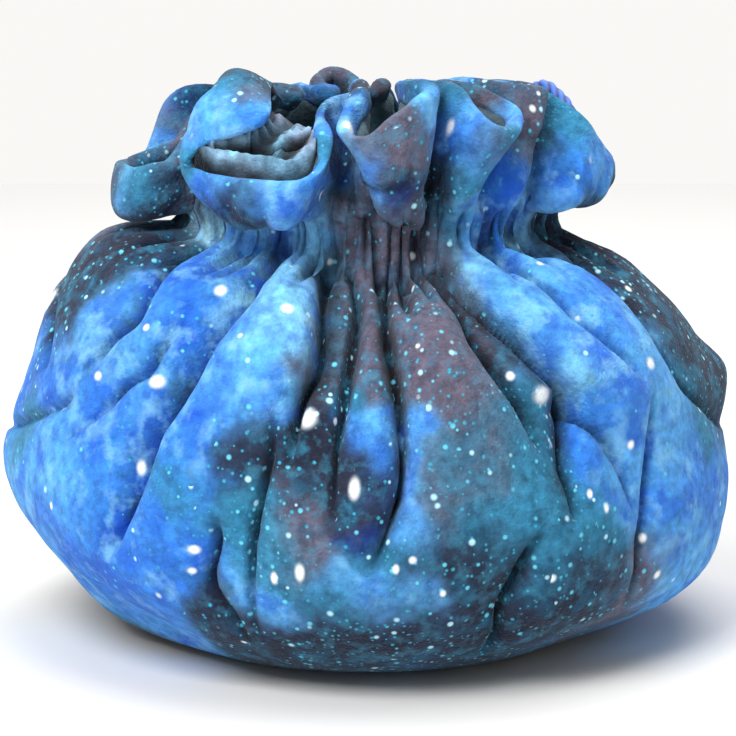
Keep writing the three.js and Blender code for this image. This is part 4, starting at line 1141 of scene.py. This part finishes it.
def satin_cord(name):
    """Twisted satin strands: painted shade darkens the grooves, with fine fibres along them."""
    material, tree, surface = shader(name)
    depth = add(tree, "Attribute", attribute_name="groove").outputs["Fac"]
    line = add(tree, "Attribute", attribute_name="fibre").outputs["Vector"]
    fibres = clouds(tree, line, 3.0, 3.0, 0.7)
    spread = arithmetic(tree, "MULTIPLY_ADD", fibres, 0.6, arithmetic(tree, "SUBTRACT", depth, 0.3))
    strand = add(tree, "ValToRGB", {"Fac": spread})
    for element, (position, tint) in zip(strand.color_ramp.elements, STRAND_COLOURS):
        element.position = position
        element.color = (*linear(tint), 1)
    bump = add(tree, "Bump", {"Strength": 0.4, "Distance": 0.0003, "Height": fibres})
    feed(tree, surface, {
        "Base Color": strand.outputs["Color"], "Normal": bump.outputs["Normal"], "Roughness": 0.5,
        "Sheen Weight": 0.15,
    })
    return material


bag.data.materials.append(plush("printed_plush", True))
lining_material = plush("lining_plush", False)
lining_piece.data.materials.append(lining_material)
fold_piece.data.materials.append(lining_material)
rope_material = satin_cord("twisted_satin")

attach(bag, "root")
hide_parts("outer_bag")
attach(lining_piece, "root")
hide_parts("ruffle_lining")
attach(fold_piece, "root")
for node, piece, knot, path in cords:
    for each in (piece, knot):
        each.data.materials.append(rope_material)
        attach(each, "root")
    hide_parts(node)
    exit_point = polar(NECK_RADIUS, TAILS[node]["exit"], EXIT_HEIGHT) * MM

# A pale floor that the background fades into
floor = mesh_piece("studio_floor", np.array(FLOOR_CORNERS), [(0, 1, 2, 3)])
floor_material, floor_tree, floor_surface = shader("pale_floor")
feed(floor_tree, floor_surface, {
    "Base Color": (0.74, 0.735, 0.725, 1), "Roughness": 0.8, "Specular IOR Level": 0.1,
})
floor.data.materials.append(floor_material)

# Soft light from all round, behind a brighter backdrop that only the camera and reflections see
scene = bpy.context.scene
world = bpy.data.worlds.new("studio")
scene.world = world
world.use_nodes = True
sky = world.node_tree
glow = sky.nodes["Background"]
feed(sky, glow, {"Color": (0.94, 0.93, 0.91, 1), "Strength": 0.45})
backdrop = add(sky, "Background", {"Color": (0.95, 0.94, 0.92, 1)})
rays = add(sky, "LightPath").outputs
mirrored = arithmetic(sky, "MAXIMUM", rays["Is Glossy Ray"], rays["Is Transmission Ray"])
direct = arithmetic(sky, "MAXIMUM", rays["Is Camera Ray"], mirrored)
either = add(sky, "MixShader", {"Fac": direct, 1: glow.outputs[0], 2: backdrop.outputs[0]})
feed(sky, sky.nodes["World Output"], {"Surface": either.outputs["Shader"]})


def area_light(name, place, aim, size, power):
    light = bpy.data.lights.new(name, "AREA")
    light.shape = "SQUARE"
    light.size = size
    light.energy = power
    lamp = shown(name, light)
    lamp.location = place
    lamp.rotation_euler = (Vector(aim) - Vector(place)).to_track_quat("-Z", "Y").to_euler()


area_light("key", (-0.35, -0.6, 0.75), (0, 0, 0.06), 0.5, 10.0)
area_light("top", (0.15, 0.1, 0.9), (0, 0, 0.06), 0.7, 5.0)
area_light("back", (0, 1.0, 1.3), (0, 0.75, 0), 1.6, 13.0)

camera_data = bpy.data.cameras.new("camera")
camera_data.lens = CAMERA_LENS
camera_data.sensor_width = CAMERA_SENSOR
camera = shown("camera", camera_data)
tilt = math.radians(CAMERA_ELEVATION)
towards = Vector((0, -math.cos(tilt), math.sin(tilt)))
camera.location = Vector(CAMERA_TARGET) + CAMERA_DISTANCE * towards
camera.rotation_euler = (-towards).to_track_quat("-Z", "Y").to_euler()
scene.camera = camera
scene.view_settings.view_transform = "Standard"
